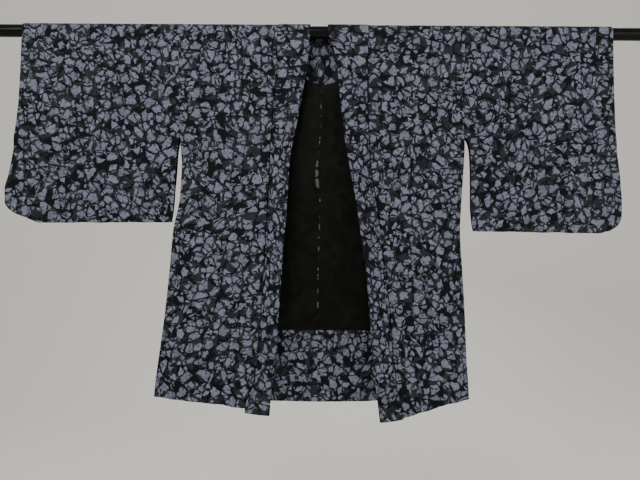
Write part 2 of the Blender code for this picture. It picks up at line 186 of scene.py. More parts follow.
RIGHT_OUTLINE = (
    OutlineRow(0.000, -0.3069, -0.0913, -0.0187),
    OutlineRow(-0.070, -0.3069, -0.0913, -0.0245),
    OutlineRow(-0.135, -0.3069, -0.0985, -0.0345),
    OutlineRow(-0.210, -0.3069, -0.1023, -0.0480),
    OutlineRow(-0.250, -0.3042, -0.1060, -0.0565),
    OutlineRow(-0.290, -0.3008, -0.1070, -0.0620),
    OutlineRow(-0.370, -0.3047, -0.1100, -0.0665),
    OutlineRow(-0.440, -0.3179, -0.1133, -0.0715),
    OutlineRow(-0.520, -0.3245, -0.1177, -0.0770),
    OutlineRow(-0.615, -0.3333, -0.1230, -0.0830),
    OutlineRow(-0.720, -0.3465, -0.1330, -0.0910),
    OutlineRow(-0.780, -0.3540, -0.1460, -0.0975),
    OutlineRow(-0.850, -0.3590, -0.1590, -0.1025),
)
LEFT_OUTLINE = (
    OutlineRow(0.000, 0.3216, 0.1089, 0.0200),
    OutlineRow(-0.070, 0.3216, 0.1089, 0.0400),
    OutlineRow(-0.135, 0.3216, 0.1089, 0.0465),
    OutlineRow(-0.210, 0.3216, 0.1120, 0.0554),
    OutlineRow(-0.250, 0.3236, 0.1138, 0.0605),
    OutlineRow(-0.290, 0.3223, 0.1160, 0.0680),
    OutlineRow(-0.370, 0.3175, 0.1290, 0.0830),
    OutlineRow(-0.440, 0.3140, 0.1385, 0.0935),
    OutlineRow(-0.520, 0.3185, 0.1480, 0.1055),
    OutlineRow(-0.615, 0.3240, 0.1600, 0.1140),
    OutlineRow(-0.720, 0.3285, 0.1680, 0.1225),
    OutlineRow(-0.780, 0.3325, 0.1755, 0.1290),
    OutlineRow(-0.860, 0.3365, 0.1925, 0.1384),
)
FRONT_SWING = (
    SwingRow(0.00, 0.0, 0.0),
    SwingRow(-0.10, 0.0, -0.0012),
    SwingRow(-0.24, 0.0010, -0.0050),
    SwingRow(-0.33, 0.0035, -0.0070),
    SwingRow(-0.50, 0.0090, -0.0020),
    SwingRow(-0.66, 0.0145, 0.0030),
    SwingRow(-0.87, 0.0200, 0.0070),
)
BACK_SWING = (
    SwingRow(0.00, 0.0, 0.0),
    SwingRow(-0.10, 0.0008, -0.0012),
    SwingRow(-0.24, 0.0020, -0.0050),
    SwingRow(-0.33, 0.0030, -0.0070),
    SwingRow(-0.50, 0.0065, -0.0020),
    SwingRow(-0.66, 0.0110, 0.0025),
    SwingRow(-0.87, 0.0160, 0.0060),
)
SLEEVE_SWING = (
    SwingRow(0.00, 0.0, 0.0),
    SwingRow(-0.10, -0.0012, -0.0012),
    SwingRow(-0.24, -0.0050, -0.0050),
    SwingRow(-0.33, -0.0070, -0.0070),
    SwingRow(-0.45, -0.0085, -0.0085),
)
SIDE_ROUNDING = 0.30

# The centre seam of the lining wanders a little on its way down
LINING_SEAM = (
    PathRow(-0.118, 0.0062),
    PathRow(-0.195, 0.0060),
    PathRow(-0.262, 0.0012),
    PathRow(-0.312, -0.0030),
    PathRow(-0.336, -0.0012),
    PathRow(-0.356, 0.0046),
    PathRow(-0.440, 0.0034),
    PathRow(-0.560, 0.0012),
    PathRow(-0.664, 0.0015),
)


def slopes(points: list[tuple[float, float]]) -> list[float]:
    """Slope at each point of a curve that never overshoots.

    Args:
        points: Places and values, in order.

    Returns:
        One slope for each point, 0 where the curve turns.
    """
    steps = [(b[1] - a[1]) / (b[0] - a[0]) for a, b in zip(points, points[1:])]
    inner = [2 * a * b / (a + b) if a * b > 0 else 0.0 for a, b in zip(steps, steps[1:])]
    return [steps[0]] + inner + [steps[-1]]


def along(rows: tuple, column: str, z: Array) -> Array:
    """Value of a table's column at heights z, on a smooth curve through its rows.

    Args:
        rows: Table whose rows go down from the top.
        column: Name of the column.
        z: Heights below the rod.

    Returns:
        The values, in the shape of z.
    """
    points = [(row.z, getattr(row, column)) for row in rows]
    slope = np.array(slopes(points))
    places = np.array([p[0] for p in points])
    values = np.array([p[1] for p in points])
    z = np.clip(z, places[-1], places[0])
    i = np.clip(np.searchsorted(-places, -z, side="right") - 1, 0, len(places) - 2)
    run = places[i + 1] - places[i]
    t = (z - places[i]) / run
    return ((2 * t ** 3 - 3 * t ** 2 + 1) * values[i] + (t ** 3 - 2 * t ** 2 + t) * run * slope[i]
            + (3 * t ** 2 - 2 * t ** 3) * values[i + 1] + (t ** 3 - t ** 2) * run * slope[i + 1])


def ease(t: Array) -> Array:
    """Smooth step from 0 to 1."""
    t = np.clip(t, 0.0, 1.0)
    return t * t * (3 - 2 * t)


def swell(t: Array) -> Array:
    """Rounded rise from 0 to 1, steep at its start."""
    return np.sin(math.pi / 2 * np.clip(t, 0.0, 1.0))


def fold_depth(folds: tuple[Fold, ...], x: Array, z: Array) -> Array:
    """Depth of the broad folds at places on a panel.

    Args:
        folds: The folds.
        x: Places across.
        z: Heights below the rod.

    Returns:
        The sum of the folds, in the shape of x.
    """
    total = np.zeros_like(x)
    for fold in folds:
        across = np.clip((x - fold.x - fold.lean * (z - fold.top)) / fold.width, -1, 1)
        total += fold.depth * np.cos(math.pi / 2 * across) ** 2 * ease((fold.top - z) / fold.fade)
    return total


def crease_depth(creases: tuple[Crease, ...], x: Array, z: Array) -> Array:
    """Depth of the soft creases at places on a panel.

    Args:
        creases: The creases.
        x: Places across.
        z: Heights below the rod.

    Returns:
        The sum of the creases, in the shape of x.
    """
    total = np.zeros_like(x)
    for crease in creases:
        length = math.hypot(crease.dx, crease.dz)
        ux, uz = crease.dx / length, crease.dz / length
        wander = 0.12 * crease.width * np.sin((x + z) * 55.0 + crease.x * 90.0)
        t = ((x - crease.x) * ux + (z - crease.z) * uz) / length
        off = np.abs((x - crease.x) * uz - (z - crease.z) * ux + wander) / crease.width
        ends = np.sin(math.pi * np.clip(t, 0.0, 1.0))
        total += crease.depth * np.clip(1 - off ** 2, 0, 1) ** 2 * np.sqrt(ends)
    return total


def crinkle(u: Array, v: Array, size: float, seed: float) -> Array:
    """Smooth random unevenness of cloth, from about -1 to 1.

    Args:
        u: Places across the cloth, in metres.
        v: Places along it.
        size: Distance between bumps, in metres.
        seed: Number that sets one piece apart from another.

    Returns:
        The unevenness, in the shape of u and v together.
    """
    u, v = np.broadcast_arrays(u, v)
    flat = [noise.noise(Vector((a / size, b / size, seed)))
            for a, b in zip(u.ravel().tolist(), v.ravel().tolist())]
    return np.array(flat).reshape(u.shape)


def puckers(distance: Array, run: Array, seed: float, reach: float = 0.009) -> Array:
    """Small uneven gathers beside a line of sewing, from -1 to 1, gone past their reach.

    Args:
        distance: Distances from the sewing.
        run: Runs along it.
        seed: Number that sets one seam apart from another.
        reach: Distance at which about a third of a gather is left.

    Returns:
        The gathers, in the shape of distance and run together.
    """
    waves = crinkle(run, np.zeros_like(run), 0.011, seed) + 0.7 * crinkle(
        run, distance * 0.6, 0.024, seed + 3.1)
    return waves * np.exp(-np.abs(distance) / reach)


def hang(x: Array, run: Array, face: Face, thickness: float, depth: Array) -> Array:
    """Points in the middle of a wall of cloth that hangs over the rod.

    Args:
        x: Places across.
        run: Runs of cloth from the top of the rod.
        face: Side of the rod.
        thickness: Thickness of the wall.
        depth: How far each point stands off the plain hang.

    Returns:
        Points, with X, Y and Z last.
    """
    reach = ROD_RADIUS + REST_GAP + thickness / 2 + depth
    angle = np.clip(run / QUARTER_RUN, 0.0, 1.0) * math.pi / 2
    y = face.value * reach * np.sin(angle)
    z = np.where(run < QUARTER_RUN, reach * np.cos(angle), QUARTER_RUN - run)
    return np.stack(np.broadcast_arrays(x, y, z), axis=-1)


def panel_swing(rows: tuple[SwingRow, ...], across: Array, z: Array) -> Array:
    """Swing of a body panel, where across is 0 at the side and 1 at the middle."""
    side = along(rows, "side", z)
    return side + (along(rows, "middle", z) - side) * swell(across / SIDE_ROUNDING)


def linear(code: str) -> tuple[float, float, float, float]:
    """Linear colour of an sRGB hex code such as #12161a.

    Args:
        code: The code.

    Returns:
        Red, green, blue and alpha.
    """
    channels = [int(code[i:i + 2], 16) / 255 for i in (1, 3, 5)]
    low = [c / 12.92 if c <= 0.04045 else ((c + 0.055) / 1.055) ** 2.4 for c in channels]
    return (low[0], low[1], low[2], 1.0)


def add_node(tree: bpy.types.NodeTree, kind: str, links: dict | None = None,
             output: int | str = 0, **settings: object) -> bpy.types.NodeSocket:
    """Adds a shader node with its settings and links.

    Args:
        tree: Node tree of the material.
        kind: Blender's name for the kind of node, without its prefix.
        links: Input names or numbers, each with a value or with a socket to link from.
        output: Name or number of the output wanted.
        **settings: Properties of the node.

    Returns:
        The output of the new node.
    """
    node = tree.nodes.new("ShaderNode" + kind)
    for name, value in settings.items():
        setattr(node, name, value)
    for name, value in (links or {}).items():
        if isinstance(value, bpy.types.NodeSocket):
            tree.links.new(value, node.inputs[name])
        else:
            node.inputs[name].default_value = value
    return node.outputs[output]


def new_material(name: str, roughness: float) -> tuple[bpy.types.Material, bpy.types.Node]:
    """Material with an empty Principled shader and its roughness set.

    Args:
        name: Name of the material.
        roughness: Roughness of the whole surface.

    Returns:
        The material and its shader.
    """
    made = bpy.data.materials.new(name)
    made.use_nodes = True
    shader = made.node_tree.nodes["Principled BSDF"]
    shader.inputs["Roughness"].default_value = roughness
    return made, shader


@dataclass(frozen=True)
class ShardLayer:
    """Layer of angular shapes, one to a cell, with a dark gap along the cell's border.

    Each shape is a polygon of three to five sides, turned at random and cut by its cell.
    """

    cell_mm: float
    shift_mm: float
    gap_mm: float
    gap_spread_mm: float
    inner_mm: float
    fewest_sides: float = 2.5
    more_sides: float = 2.2
    smallest: float = 0.65
    size_range: float = 0.7
    squeeze: tuple[float, float, float] = (0.78, 1.25, 0.0)

    def build(self, tree: bpy.types.NodeTree, place: bpy.types.NodeSocket,
              uneven: bpy.types.NodeSocket) -> tuple[bpy.types.NodeSocket, ...]:
        """Draws the layer.

        Args:
            tree: Node tree of the material.
            place: Place on the cloth, in millimetres.
            uneven: Noise that widens the gaps here and there.

        Returns:
            Distance inside the shape in millimetres, below 0 outside it, random colour of each
            cell, and the place within the cell turned to the shape's direction.
        """
        moved = add_node(tree, "VectorMath", {0: place, 1: (self.shift_mm,) * 3},
                         operation="ADD")
        links = {"Vector": moved, "Scale": 1 / self.cell_mm}
        colour = add_node(tree, "TexVoronoi", links, "Color", voronoi_dimensions="2D")
        edge = add_node(tree, "TexVoronoi", links, "Distance", voronoi_dimensions="2D",
                        feature="DISTANCE_TO_EDGE")
        edge_mm = add_node(tree, "Math", {0: edge, 1: self.cell_mm}, operation="MULTIPLY")
        gap = add_node(tree, "Math", {0: uneven, 1: self.gap_spread_mm, 2: self.gap_mm},
                       operation="MULTIPLY_ADD")
        clear = add_node(tree, "Math", {0: edge_mm, 1: gap}, operation="SUBTRACT")
        local = add_node(tree, "VectorMath", {0: moved, 1: colour.node.outputs["Position"]},
                         operation="SUBTRACT")
        turn = add_node(tree, "SeparateColor", {"Color": colour}, "Red")
        angle = add_node(tree, "Math", {0: turn, 1: 2 * math.pi}, operation="MULTIPLY")
        turned = add_node(tree, "VectorRotate", {"Vector": local, "Angle": angle},
                          rotation_type="Z_AXIS")
        sides = add_node(tree, "Math", {0: turn.node.outputs["Green"], 1: self.more_sides,
                                        2: self.fewest_sides}, operation="MULTIPLY_ADD")
        radius = add_node(tree, "Math", {0: turn.node.outputs["Blue"],
                                         1: self.inner_mm * self.size_range,
                                         2: self.inner_mm * self.smallest},
                          operation="MULTIPLY_ADD")
        polygon = self.polygon(tree, turned, sides, radius)
        inside = add_node(tree, "Math", {0: polygon, 1: clear}, operation="MINIMUM")
        return inside, colour, turned

    def polygon(self, tree: bpy.types.NodeTree, turned: bpy.types.NodeSocket,
                sides: bpy.types.NodeSocket, radius: bpy.types.NodeSocket
                ) -> bpy.types.NodeSocket:
        """Distance inside a polygon with a number of sides and an inner radius.

        Args:
            tree: Node tree of the material.
            turned: Place within the cell.
            sides: Number of sides, where a part of a side makes one odd corner.
            radius: Inner radius in millimetres.

        Returns:
            The distance, below 0 outside.
        """
        drawn = add_node(tree, "VectorMath", {0: turned, 1: self.squeeze},
                         operation="MULTIPLY")
        length = add_node(tree, "VectorMath", {0: drawn}, "Value", operation="LENGTH")
        axis = add_node(tree, "SeparateXYZ", {0: drawn}, "X")
        angle = add_node(tree, "Math", {0: axis.node.outputs["Y"], 1: axis},
                         operation="ARCTAN2")
        sector = add_node(tree, "Math", {0: 2 * math.pi, 1: sides}, operation="DIVIDE")
        within = add_node(tree, "Math", {0: angle, 1: sector}, operation="FLOORED_MODULO")
        off = add_node(tree, "Math", {0: sector, 1: -0.5, 2: within},
                       operation="MULTIPLY_ADD")
        cosine = add_node(tree, "Math", {0: off}, operation="COSINE")
        reach = add_node(tree, "Math", {0: cosine, 1: length}, operation="MULTIPLY")
        return add_node(tree, "Math", {0: radius, 1: reach}, operation="SUBTRACT")


@dataclass(frozen=True)
class PrintedSilkCrepe:
    """Silk crepe, woven with twisted weft so that it blisters, dyed with angular petals.

    The twist gives the eye a matt, faintly pebbled surface with a soft sheen at the folds. Large
    petals are about 22 mm long and 14 mm wide on a near-black ground, with small ones between.
    Crepe grain is really 0.5 mm and is drawn at 1.6 mm, as fine as it can show.
    """

    ground: str = "#040609"
    slate: str = "#24272c"
    petal_low: str = "#15171d"
    petal_high: str = "#6d7080"
    large: ShardLayer = ShardLayer(26.0, 0.0, -0.8, 5.0, 8.8)
    small: ShardLayer = ShardLayer(13.5, 733.0, -0.8, 4.2, 4.6)
    cuts: ShardLayer = ShardLayer(31.0, 317.0, -1.9, 5.4, 90.0)
    small_share: float = 0.55
    slate_share: float = 0.6
    room_mm: float = -2.2
    hook_mm: float = 25.0
    grain_mm: float = 1.6
    blister_mm: float = 7.0

    def build(self) -> bpy.types.Material:
        """Makes the material.

        Returns:
            The material.
        """
        made, shader = new_material("printed_silk_crepe", 0.7)
        tree = made.node_tree
        shader.inputs["Sheen Weight"].default_value = 0.03
        shader.inputs["Sheen Roughness"].default_value = 0.5
        shader.inputs["Specular IOR Level"].default_value = 0.10
        cloth = add_node(tree, "UVMap", output="UV", uv_map="cloth")
        place = add_node(tree, "VectorMath", {0: cloth, 1: (1000.0,) * 3}, operation="MULTIPLY")
        drift = add_node(tree, "TexNoise", {"Vector": place, "Scale": 1 / 14.0, "Detail": 1.0},
                         "Color", noise_dimensions="2D")
        bent = add_node(tree, "VectorMath", {0: drift, 1: (8.0, 8.0, 0.0), 2: place},
                        operation="MULTIPLY_ADD")
        uneven = add_node(tree, "TexNoise", {"Vector": place, "Scale": 1 / 9.0, "Detail": 1.0},
                          noise_dimensions="2D")
        petal, slate, tone = self.shards(tree, bent, uneven)
        hooks = self.hooks(tree, bent, uneven)
        light = add_node(tree, "Math", {0: petal, 1: hooks}, operation="MAXIMUM")
        tree.links.new(self.colour(tree, light, slate, tone), shader.inputs["Base Color"])
        tree.links.new(self.relief(tree, place, light), shader.inputs["Normal"])
        return made

    def shards(self, tree: bpy.types.NodeTree, place: bpy.types.NodeSocket,
               uneven: bpy.types.NodeSocket) -> tuple[bpy.types.NodeSocket, ...]:
        """Large petals, small ones in the room that these leave, and slate shapes under both.

        Args:
            tree: Node tree of the material.
            place: Place on the cloth, in millimetres.
            uneven: Noise that widens the gaps here and there.

        Returns:
            Mask of the light petals, mask of the slate shapes, and the tone of each.
        """
        large, own, turned = self.large.build(tree, place, uneven)
        small, own_small, _ = self.small.build(tree, place, uneven)
        cut, own_cut, _ = self.cuts.build(tree, place, uneven)
        chance = add_node(tree, "SeparateXYZ", {0: own_small}, "X")
        some = add_node(tree, "Math", {0: chance, 1: self.small_share}, operation="LESS_THAN")
        room = add_node(tree, "Math", {0: self.room_mm, 1: large}, operation="SUBTRACT")
        fitted = add_node(tree, "Math", {0: small, 1: room}, operation="MINIMUM")
        kept = add_node(tree, "Math", {0: some, 1: 20.0, 2: -20.0}, operation="MULTIPLY_ADD")
        shown = add_node(tree, "Math", {0: fitted, 1: kept}, operation="ADD")
        split = add_node(tree, "Math", {0: large, 1: cut}, operation="MINIMUM")
        either = add_node(tree, "Math", {0: split, 1: shown}, operation="MAXIMUM")
        light = add_node(tree, "MapRange", {"Value": either, "From Min": -0.5,
                                            "From Max": 1.3}, interpolation_type="SMOOTHSTEP")
        mixed = add_node(tree, "VectorMath", {0: own_cut, 1: (3.7, 5.3, 4.1), 2: own},
                         operation="MULTIPLY_ADD")
        pick = add_node(tree, "SeparateXYZ", {0: add_node(
            tree, "VectorMath", {0: mixed}, operation="FRACTION")}, "X")
        is_slate = add_node(tree, "Math", {0: pick, 1: self.slate_share}, operation="LESS_THAN")
        whole = add_node(tree, "MapRange", {"Value": cut, "From Max": 2.0},
                         interpolation_type="SMOOTHSTEP")
        slate = add_node(tree, "Math", {0: is_slate, 1: whole}, operation="MULTIPLY")
        return light, slate, self.petal_tone(tree, turned, pick.node.outputs["Y"])

    def petal_tone(self, tree: bpy.types.NodeTree, turned: bpy.types.NodeSocket,
                   own: bpy.types.NodeSocket) -> bpy.types.NodeSocket:
        """Tone of a petal from its own level, a slope across it and brush-like streaks.

        Args:
            tree: Node tree of the material.
            turned: Place within the petal, turned to its direction, in millimetres.
            own: Random number of the petal.

        Returns:
            The tone, from 0 to 1.
        """
        across = add_node(tree, "SeparateXYZ", {0: turned}, "X")
        slope = add_node(tree, "MapRange", {"Value": across, "From Min": -10.0,
                                            "From Max": 10.0, "To Min": -0.14, "To Max": 0.14})
        drawn = add_node(tree, "VectorMath", {0: turned, 1: (0.14, 0.36, 1.0)},
                         operation="MULTIPLY")
        streak = add_node(tree, "TexNoise", {"Vector": drawn, "Scale": 1.0, "Detail": 2.0},
                          noise_dimensions="2D")
        level = add_node(tree, "Math", {0: own, 1: 0.30, 2: slope}, operation="MULTIPLY_ADD")
        base = add_node(tree, "Math", {0: level, 1: 0.42}, operation="SUBTRACT")
        return add_node(tree, "Math", {0: streak, 1: 2.0, 2: base}, operation="MULTIPLY_ADD")

    def hooks(self, tree: bpy.types.NodeTree, place: bpy.types.NodeSocket,
              uneven: bpy.types.NodeSocket) -> bpy.types.NodeSocket:
        """Mask of thin hooks, arcs of rings round scattered centres.

        Args:
            tree: Node tree of the material.
            place: Place on the cloth, in millimetres.
            uneven: Noise that breaks the rings.

        Returns:
            The mask.
        """
        moved = add_node(tree, "VectorMath", {0: place, 1: (419.0,) * 3}, operation="ADD")
        radius = add_node(tree, "TexVoronoi", {"Vector": moved, "Scale": 1 / self.hook_mm},
                          "Distance", voronoi_dimensions="2D")
        choice = add_node(tree, "SeparateXYZ", {0: radius.node.outputs["Color"]}, "X")
        ring = add_node(tree, "Math", {0: radius, 1: 0.26}, operation="SUBTRACT")
        thin = add_node(tree, "Math", {0: ring}, operation="ABSOLUTE")
        line = add_node(tree, "MapRange", {"Value": thin, "From Min": 0.060,
                                           "From Max": 0.025}, interpolation_type="SMOOTHSTEP")
        part = add_node(tree, "MapRange", {"Value": uneven, "From Min": 0.50,
                                           "From Max": 0.56}, interpolation_type="SMOOTHSTEP")
        some = add_node(tree, "Math", {0: choice, 1: 0.35}, operation="LESS_THAN")
        arc = add_node(tree, "Math", {0: line, 1: part}, operation="MULTIPLY")
        return add_node(tree, "Math", {0: arc, 1: some}, operation="MULTIPLY")

    def colour(self, tree: bpy.types.NodeTree, light: bpy.types.NodeSocket,
               slate: bpy.types.NodeSocket, tone: bpy.types.NodeSocket) -> bpy.types.NodeSocket:
        """Colour of the print from its masks and tone.

        Args:
            tree: Node tree of the material.
            light: Mask of the light petals.
            slate: Mask of the slate ones.
            tone: Tone within each petal.

        Returns:
            The colour.
        """
        dim = add_node(tree, "Math", {0: slate, 1: tone}, operation="MULTIPLY")
        under = add_node(tree, "Mix", {0: dim, 6: linear(self.ground), 7: linear(self.slate)},
                         2, data_type="RGBA")
        petal = add_node(tree, "Mix", {0: tone, 6: linear(self.petal_low),
                                       7: linear(self.petal_high)}, 2, data_type="RGBA")
        return add_node(tree, "Mix", {0: light, 6: under, 7: petal}, 2, data_type="RGBA")

    def relief(self, tree: bpy.types.NodeTree, place: bpy.types.NodeSocket,
               light: bpy.types.NodeSocket) -> bpy.types.NodeSocket:
        """Bumped normal of the crepe grain, its blisters and the slightly proud print.

        Args:
            tree: Node tree of the material.
            place: Place on the cloth, in millimetres.
            light: Mask of the light petals.

        Returns:
            The normal.
        """
        grain = add_node(tree, "TexNoise", {"Vector": place, "Scale": 1 / self.grain_mm,
                                            "Detail": 2.0}, noise_dimensions="2D")
        blister = add_node(tree, "TexNoise", {"Vector": place, "Scale": 1 / self.blister_mm,
                                              "Detail": 1.0}, noise_dimensions="2D")
        coarse = add_node(tree, "Bump", {"Height": blister, "Strength": 0.55,
                                         "Distance": 0.0022})
        proud = add_node(tree, "Bump", {"Height": light, "Strength": 0.25, "Distance": 0.0004,
                                        "Normal": coarse})
        return add_node(tree, "Bump", {"Height": grain, "Strength": 0.45, "Distance": 0.0006,
                                       "Normal": proud})


@dataclass(frozen=True)
class PlainSilkLining:
    """Plain-woven silk lining, dyed olive-black, which is smooth and faintly lustrous.

    Threads are really 0.2 mm apart and are drawn 1.2 mm apart, as fine as they can show. A ghost
    of the outer print shows through as slightly paler patches.
    """

    colour: str = "#040402"
    pale: str = "#12130e"
    thread_mm: float = 1.2
    ghost_mm: float = 17.0

    def build(self) -> bpy.types.Material:
        """Makes the material.

        Returns:
            The material.
        """
        made, shader = new_material("plain_silk_lining", 0.5)
        tree = made.node_tree
        shader.inputs["Specular IOR Level"].default_value = 0.06
        cloth = add_node(tree, "UVMap", output="UV", uv_map="cloth")
        place = add_node(tree, "VectorMath", {0: cloth, 1: (1000.0,) * 3}, operation="MULTIPLY")
        ghost = add_node(tree, "TexVoronoi", {"Vector": place, "Scale": 1 / self.ghost_mm},
                         "Color", voronoi_dimensions="2D")
        cloud = add_node(tree, "TexNoise", {"Vector": place, "Scale": 1 / 40.0, "Detail": 2.0},
                         noise_dimensions="2D")
        random = add_node(tree, "SeparateColor", {"Color": ghost})
        share = add_node(tree, "Math", {0: random, 1: cloud}, operation="MULTIPLY")
        colour = add_node(tree, "Mix", {0: share, 6: linear(self.colour),
                                        7: linear(self.pale)}, 2, data_type="RGBA")
        tree.links.new(colour, shader.inputs["Base Color"])
        threads = {"Vector": place, "Scale": 0.314 / self.thread_mm, "Distortion": 0.4}
        warp = add_node(tree, "TexWave", threads, "Fac", bands_direction="X")
        weft = add_node(tree, "TexWave", threads, "Fac", bands_direction="Y")
        weave = add_node(tree, "Math", {0: warp, 1: weft}, operation="MAXIMUM")
        bump = add_node(tree, "Bump", {"Height": weave, "Strength": 0.2, "Distance": 0.0003})
        tree.links.new(bump, shader.inputs["Normal"])
        return made


@dataclass(frozen=True)
class SeamEdgeHighlight:
    """Painted highlight: pale grey on the puckered, folded edge of the lining's centre seam, where it
    catches the light. Dry and matt.

    Its threads are really 0.2 mm apart and are drawn 1 mm apart, as fine as they can show.
    """

    # Pale grey is painted highlight on the seam's folded edge; the darker colour speckles it
    colour: str = "#62625e"
    shade: str = "#1d1d1b"
    thread_mm: float = 1.0

    def build(self) -> bpy.types.Material:
        """Makes the material.

        Returns:
            The material.
        """
        made, shader = new_material("seam_edge_painted_highlight", 0.85)
        tree = made.node_tree
        shader.inputs["Specular IOR Level"].default_value = 0.1
        cloth = add_node(tree, "UVMap", output="UV", uv_map="cloth")
        fray = add_node(tree, "TexNoise", {"Vector": cloth, "Scale": 1000 / self.thread_mm,
                                           "Detail": 2.0}, noise_dimensions="2D")
        colour = add_node(tree, "Mix", {0: fray, 6: linear(self.shade),
                                        7: linear(self.colour)}, 2, data_type="RGBA")
        bump = add_node(tree, "Bump", {"Height": fray, "Strength": 0.3, "Distance": 0.0003})
        tree.links.new(colour, shader.inputs["Base Color"])
        tree.links.new(bump, shader.inputs["Normal"])
        return made


@dataclass(frozen=True)
class BlackEnamel:
    """Steel tube with sprayed black enamel: a glossy coat with a faint orange peel."""

    colour: str = "#060607"
    worn: str = "#0e0e10"
    peel_mm: float = 3.0

    def build(self) -> bpy.types.Material:
        """Makes the material.

        Returns:
            The material.
        """
        made, shader = new_material("black_enamel", 0.2)
        tree = made.node_tree
        shader.inputs["Specular IOR Level"].default_value = 0.1
        place = add_node(tree, "TexCoord", output="Object")
        peel = add_node(tree, "TexNoise", {"Vector": place, "Scale": 1000 / self.peel_mm,
                                           "Detail": 1.0})
        dust = add_node(tree, "TexNoise", {"Vector": place, "Scale": 18.0, "Detail": 4.0})
        colour = add_node(tree, "Mix", {0: dust, 6: linear(self.colour), 7: linear(self.worn)},
                          2, data_type="RGBA")
        rough = add_node(tree, "MapRange", {"Value": dust, "To Min": 0.08, "To Max": 0.20})
        bump = add_node(tree, "Bump", {"Height": peel, "Strength": 0.08, "Distance": 0.0003})
        tree.links.new(colour, shader.inputs["Base Color"])
        tree.links.new(rough, shader.inputs["Roughness"])
        tree.links.new(bump, shader.inputs["Normal"])
        return made


@dataclass
class Finishes:
    """The finishes of the garment and its rod, each made once."""

    crepe: bpy.types.Material = field(default_factory=lambda: PrintedSilkCrepe().build())
    lining: bpy.types.Material = field(default_factory=lambda: PlainSilkLining().build())
    # edge is the pale painted highlight along the lining's centre seam
    edge: bpy.types.Material = field(default_factory=lambda: SeamEdgeHighlight().build())
    enamel: bpy.types.Material = field(default_factory=lambda: BlackEnamel().build())


@dataclass
class Sheet:
    """One piece of cloth made of grids whose shared edges are joined."""

    name: str
    thickness: float
    rounding: float = 0.0004
    points: list[Array] = field(default_factory=list)
    places: list[Array] = field(default_factory=list)

    def add(self, points: Array, u: Array, v: Array, shift: tuple[float, float]) -> None:
        """Adds a grid of points with its places on the flat cloth, in metres."""
        self.points.append(points)
        self.places.append(np.stack(np.broadcast_arrays(u + shift[0], v + shift[1]), axis=-1))

    def build(self, finishes: list[bpy.types.Material], flip: bool = False) -> bpy.types.Object:
        """Joins the grids into a mesh and thickens it.

        Args:
            finishes: Material outside, then the one inside if it differs.
            flip: Turns the faces over, where the grids run the other way.

        Returns:
            The piece.
        """
        mesh = bpy.data.meshes.new(self.name)
        model = bmesh.new()
        layer = model.loops.layers.uv.new("cloth")
        for grid, place in zip(self.points, self.places):
            rows, columns = grid.shape[:2]
            verts = [[model.verts.new(grid[r, c]) for c in range(columns)] for r in range(rows)]
            for r in range(rows - 1):
                for c in range(columns - 1):
                    corners = [(r, c), (r, c + 1), (r + 1, c + 1), (r + 1, c)]
                    if flip:
                        corners.reverse()
                    made = model.faces.new([verts[i][j] for i, j in corners])
                    made.smooth = True
                    for loop, (i, j) in zip(made.loops, corners):
                        loop[layer].uv = place[i, j]
        bmesh.ops.remove_doubles(model, verts=model.verts, dist=0.00004)
        model.to_mesh(mesh)
        model.free()
        for finish in finishes:
            mesh.materials.append(finish)
        piece = bpy.data.objects.new(self.name, mesh)
        bpy.context.scene.collection.objects.link(piece)
        wall = piece.modifiers.new("wall", "SOLIDIFY")
        wall.thickness = self.thickness
        wall.offset = 0.0
        wall.material_offset = len(finishes) - 1
        edge = piece.modifiers.new("soft_edge", "BEVEL")
        edge.width = self.rounding
        edge.segments = 2
        edge.limit_method = "ANGLE"
        edge.angle_limit = math.radians(60)
        return piece


def spread(length: float, step: float = GRID) -> Array:
    """Even shares from 0 to 1 for a length divided in steps."""
    return np.linspace(0.0, 1.0, max(int(round(length / step)), 2) + 1)


def finished(piece: bpy.types.Object, replaced: tuple[str, ...]) -> bpy.types.Object:
    """Joins a piece to the garment's body and hides the solids it replaces.

    Args:
        piece: The piece.
        replaced: Solids that the piece stands for.

    Returns:
        The piece.
    """
    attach(piece, "root")
    if replaced:
        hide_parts(*replaced)
    LOG.info("%s: %d faces", piece.name, len(piece.data.polygons))
    return piece


def neck_line(turn: Array, grow: float = 0.0) -> tuple[Array, Array]:
    """Seam between collar and backs, a half ellipse behind the neck.

    Args:
        turn: Shares of the way from the right shoulder to the left one.
        grow: How far outside the seam to be.

    Returns:
        Places across, and runs of cloth.
    """
    right, left = RIGHT_OUTLINE[0].seam - grow, LEFT_OUTLINE[0].seam + grow
    x = (right + left) / 2 - (left - right) / 2 * np.cos(math.pi * turn)
    return x, (NECK_SEAM_DROP + grow) * np.clip(np.sin(math.pi * turn), 0, 1) ** NECK_SHAPE


def neck_free_edge(turn: Array, seam_run: Array) -> tuple[Array, Array]:
    """Free edge of the collar behind the neck: straight over the rod, then a slight dip.

    Args:
        turn: Shares of the way from the right shoulder to the left one.
        seam_run: Runs of the collar's seam at the same shares.

    Returns:
        Places across, and runs of cloth.
    """
    right, left = RIGHT_OUTLINE[0].edge, LEFT_OUTLINE[0].edge
    start = math.asin((QUARTER_RUN / NECK_SEAM_DROP) ** (1 / NECK_SHAPE)) / math.pi
    dip = np.clip((turn - start) / (1 - 2 * start), 0.0, 1.0)
    x = (right + left) / 2 - (left - right) / 2 * np.cos(math.pi * dip)
    drop = (NECK_FREE_DROP - QUARTER_RUN) * np.sin(math.pi * dip)
    return x, np.minimum(seam_run, QUARTER_RUN) + drop


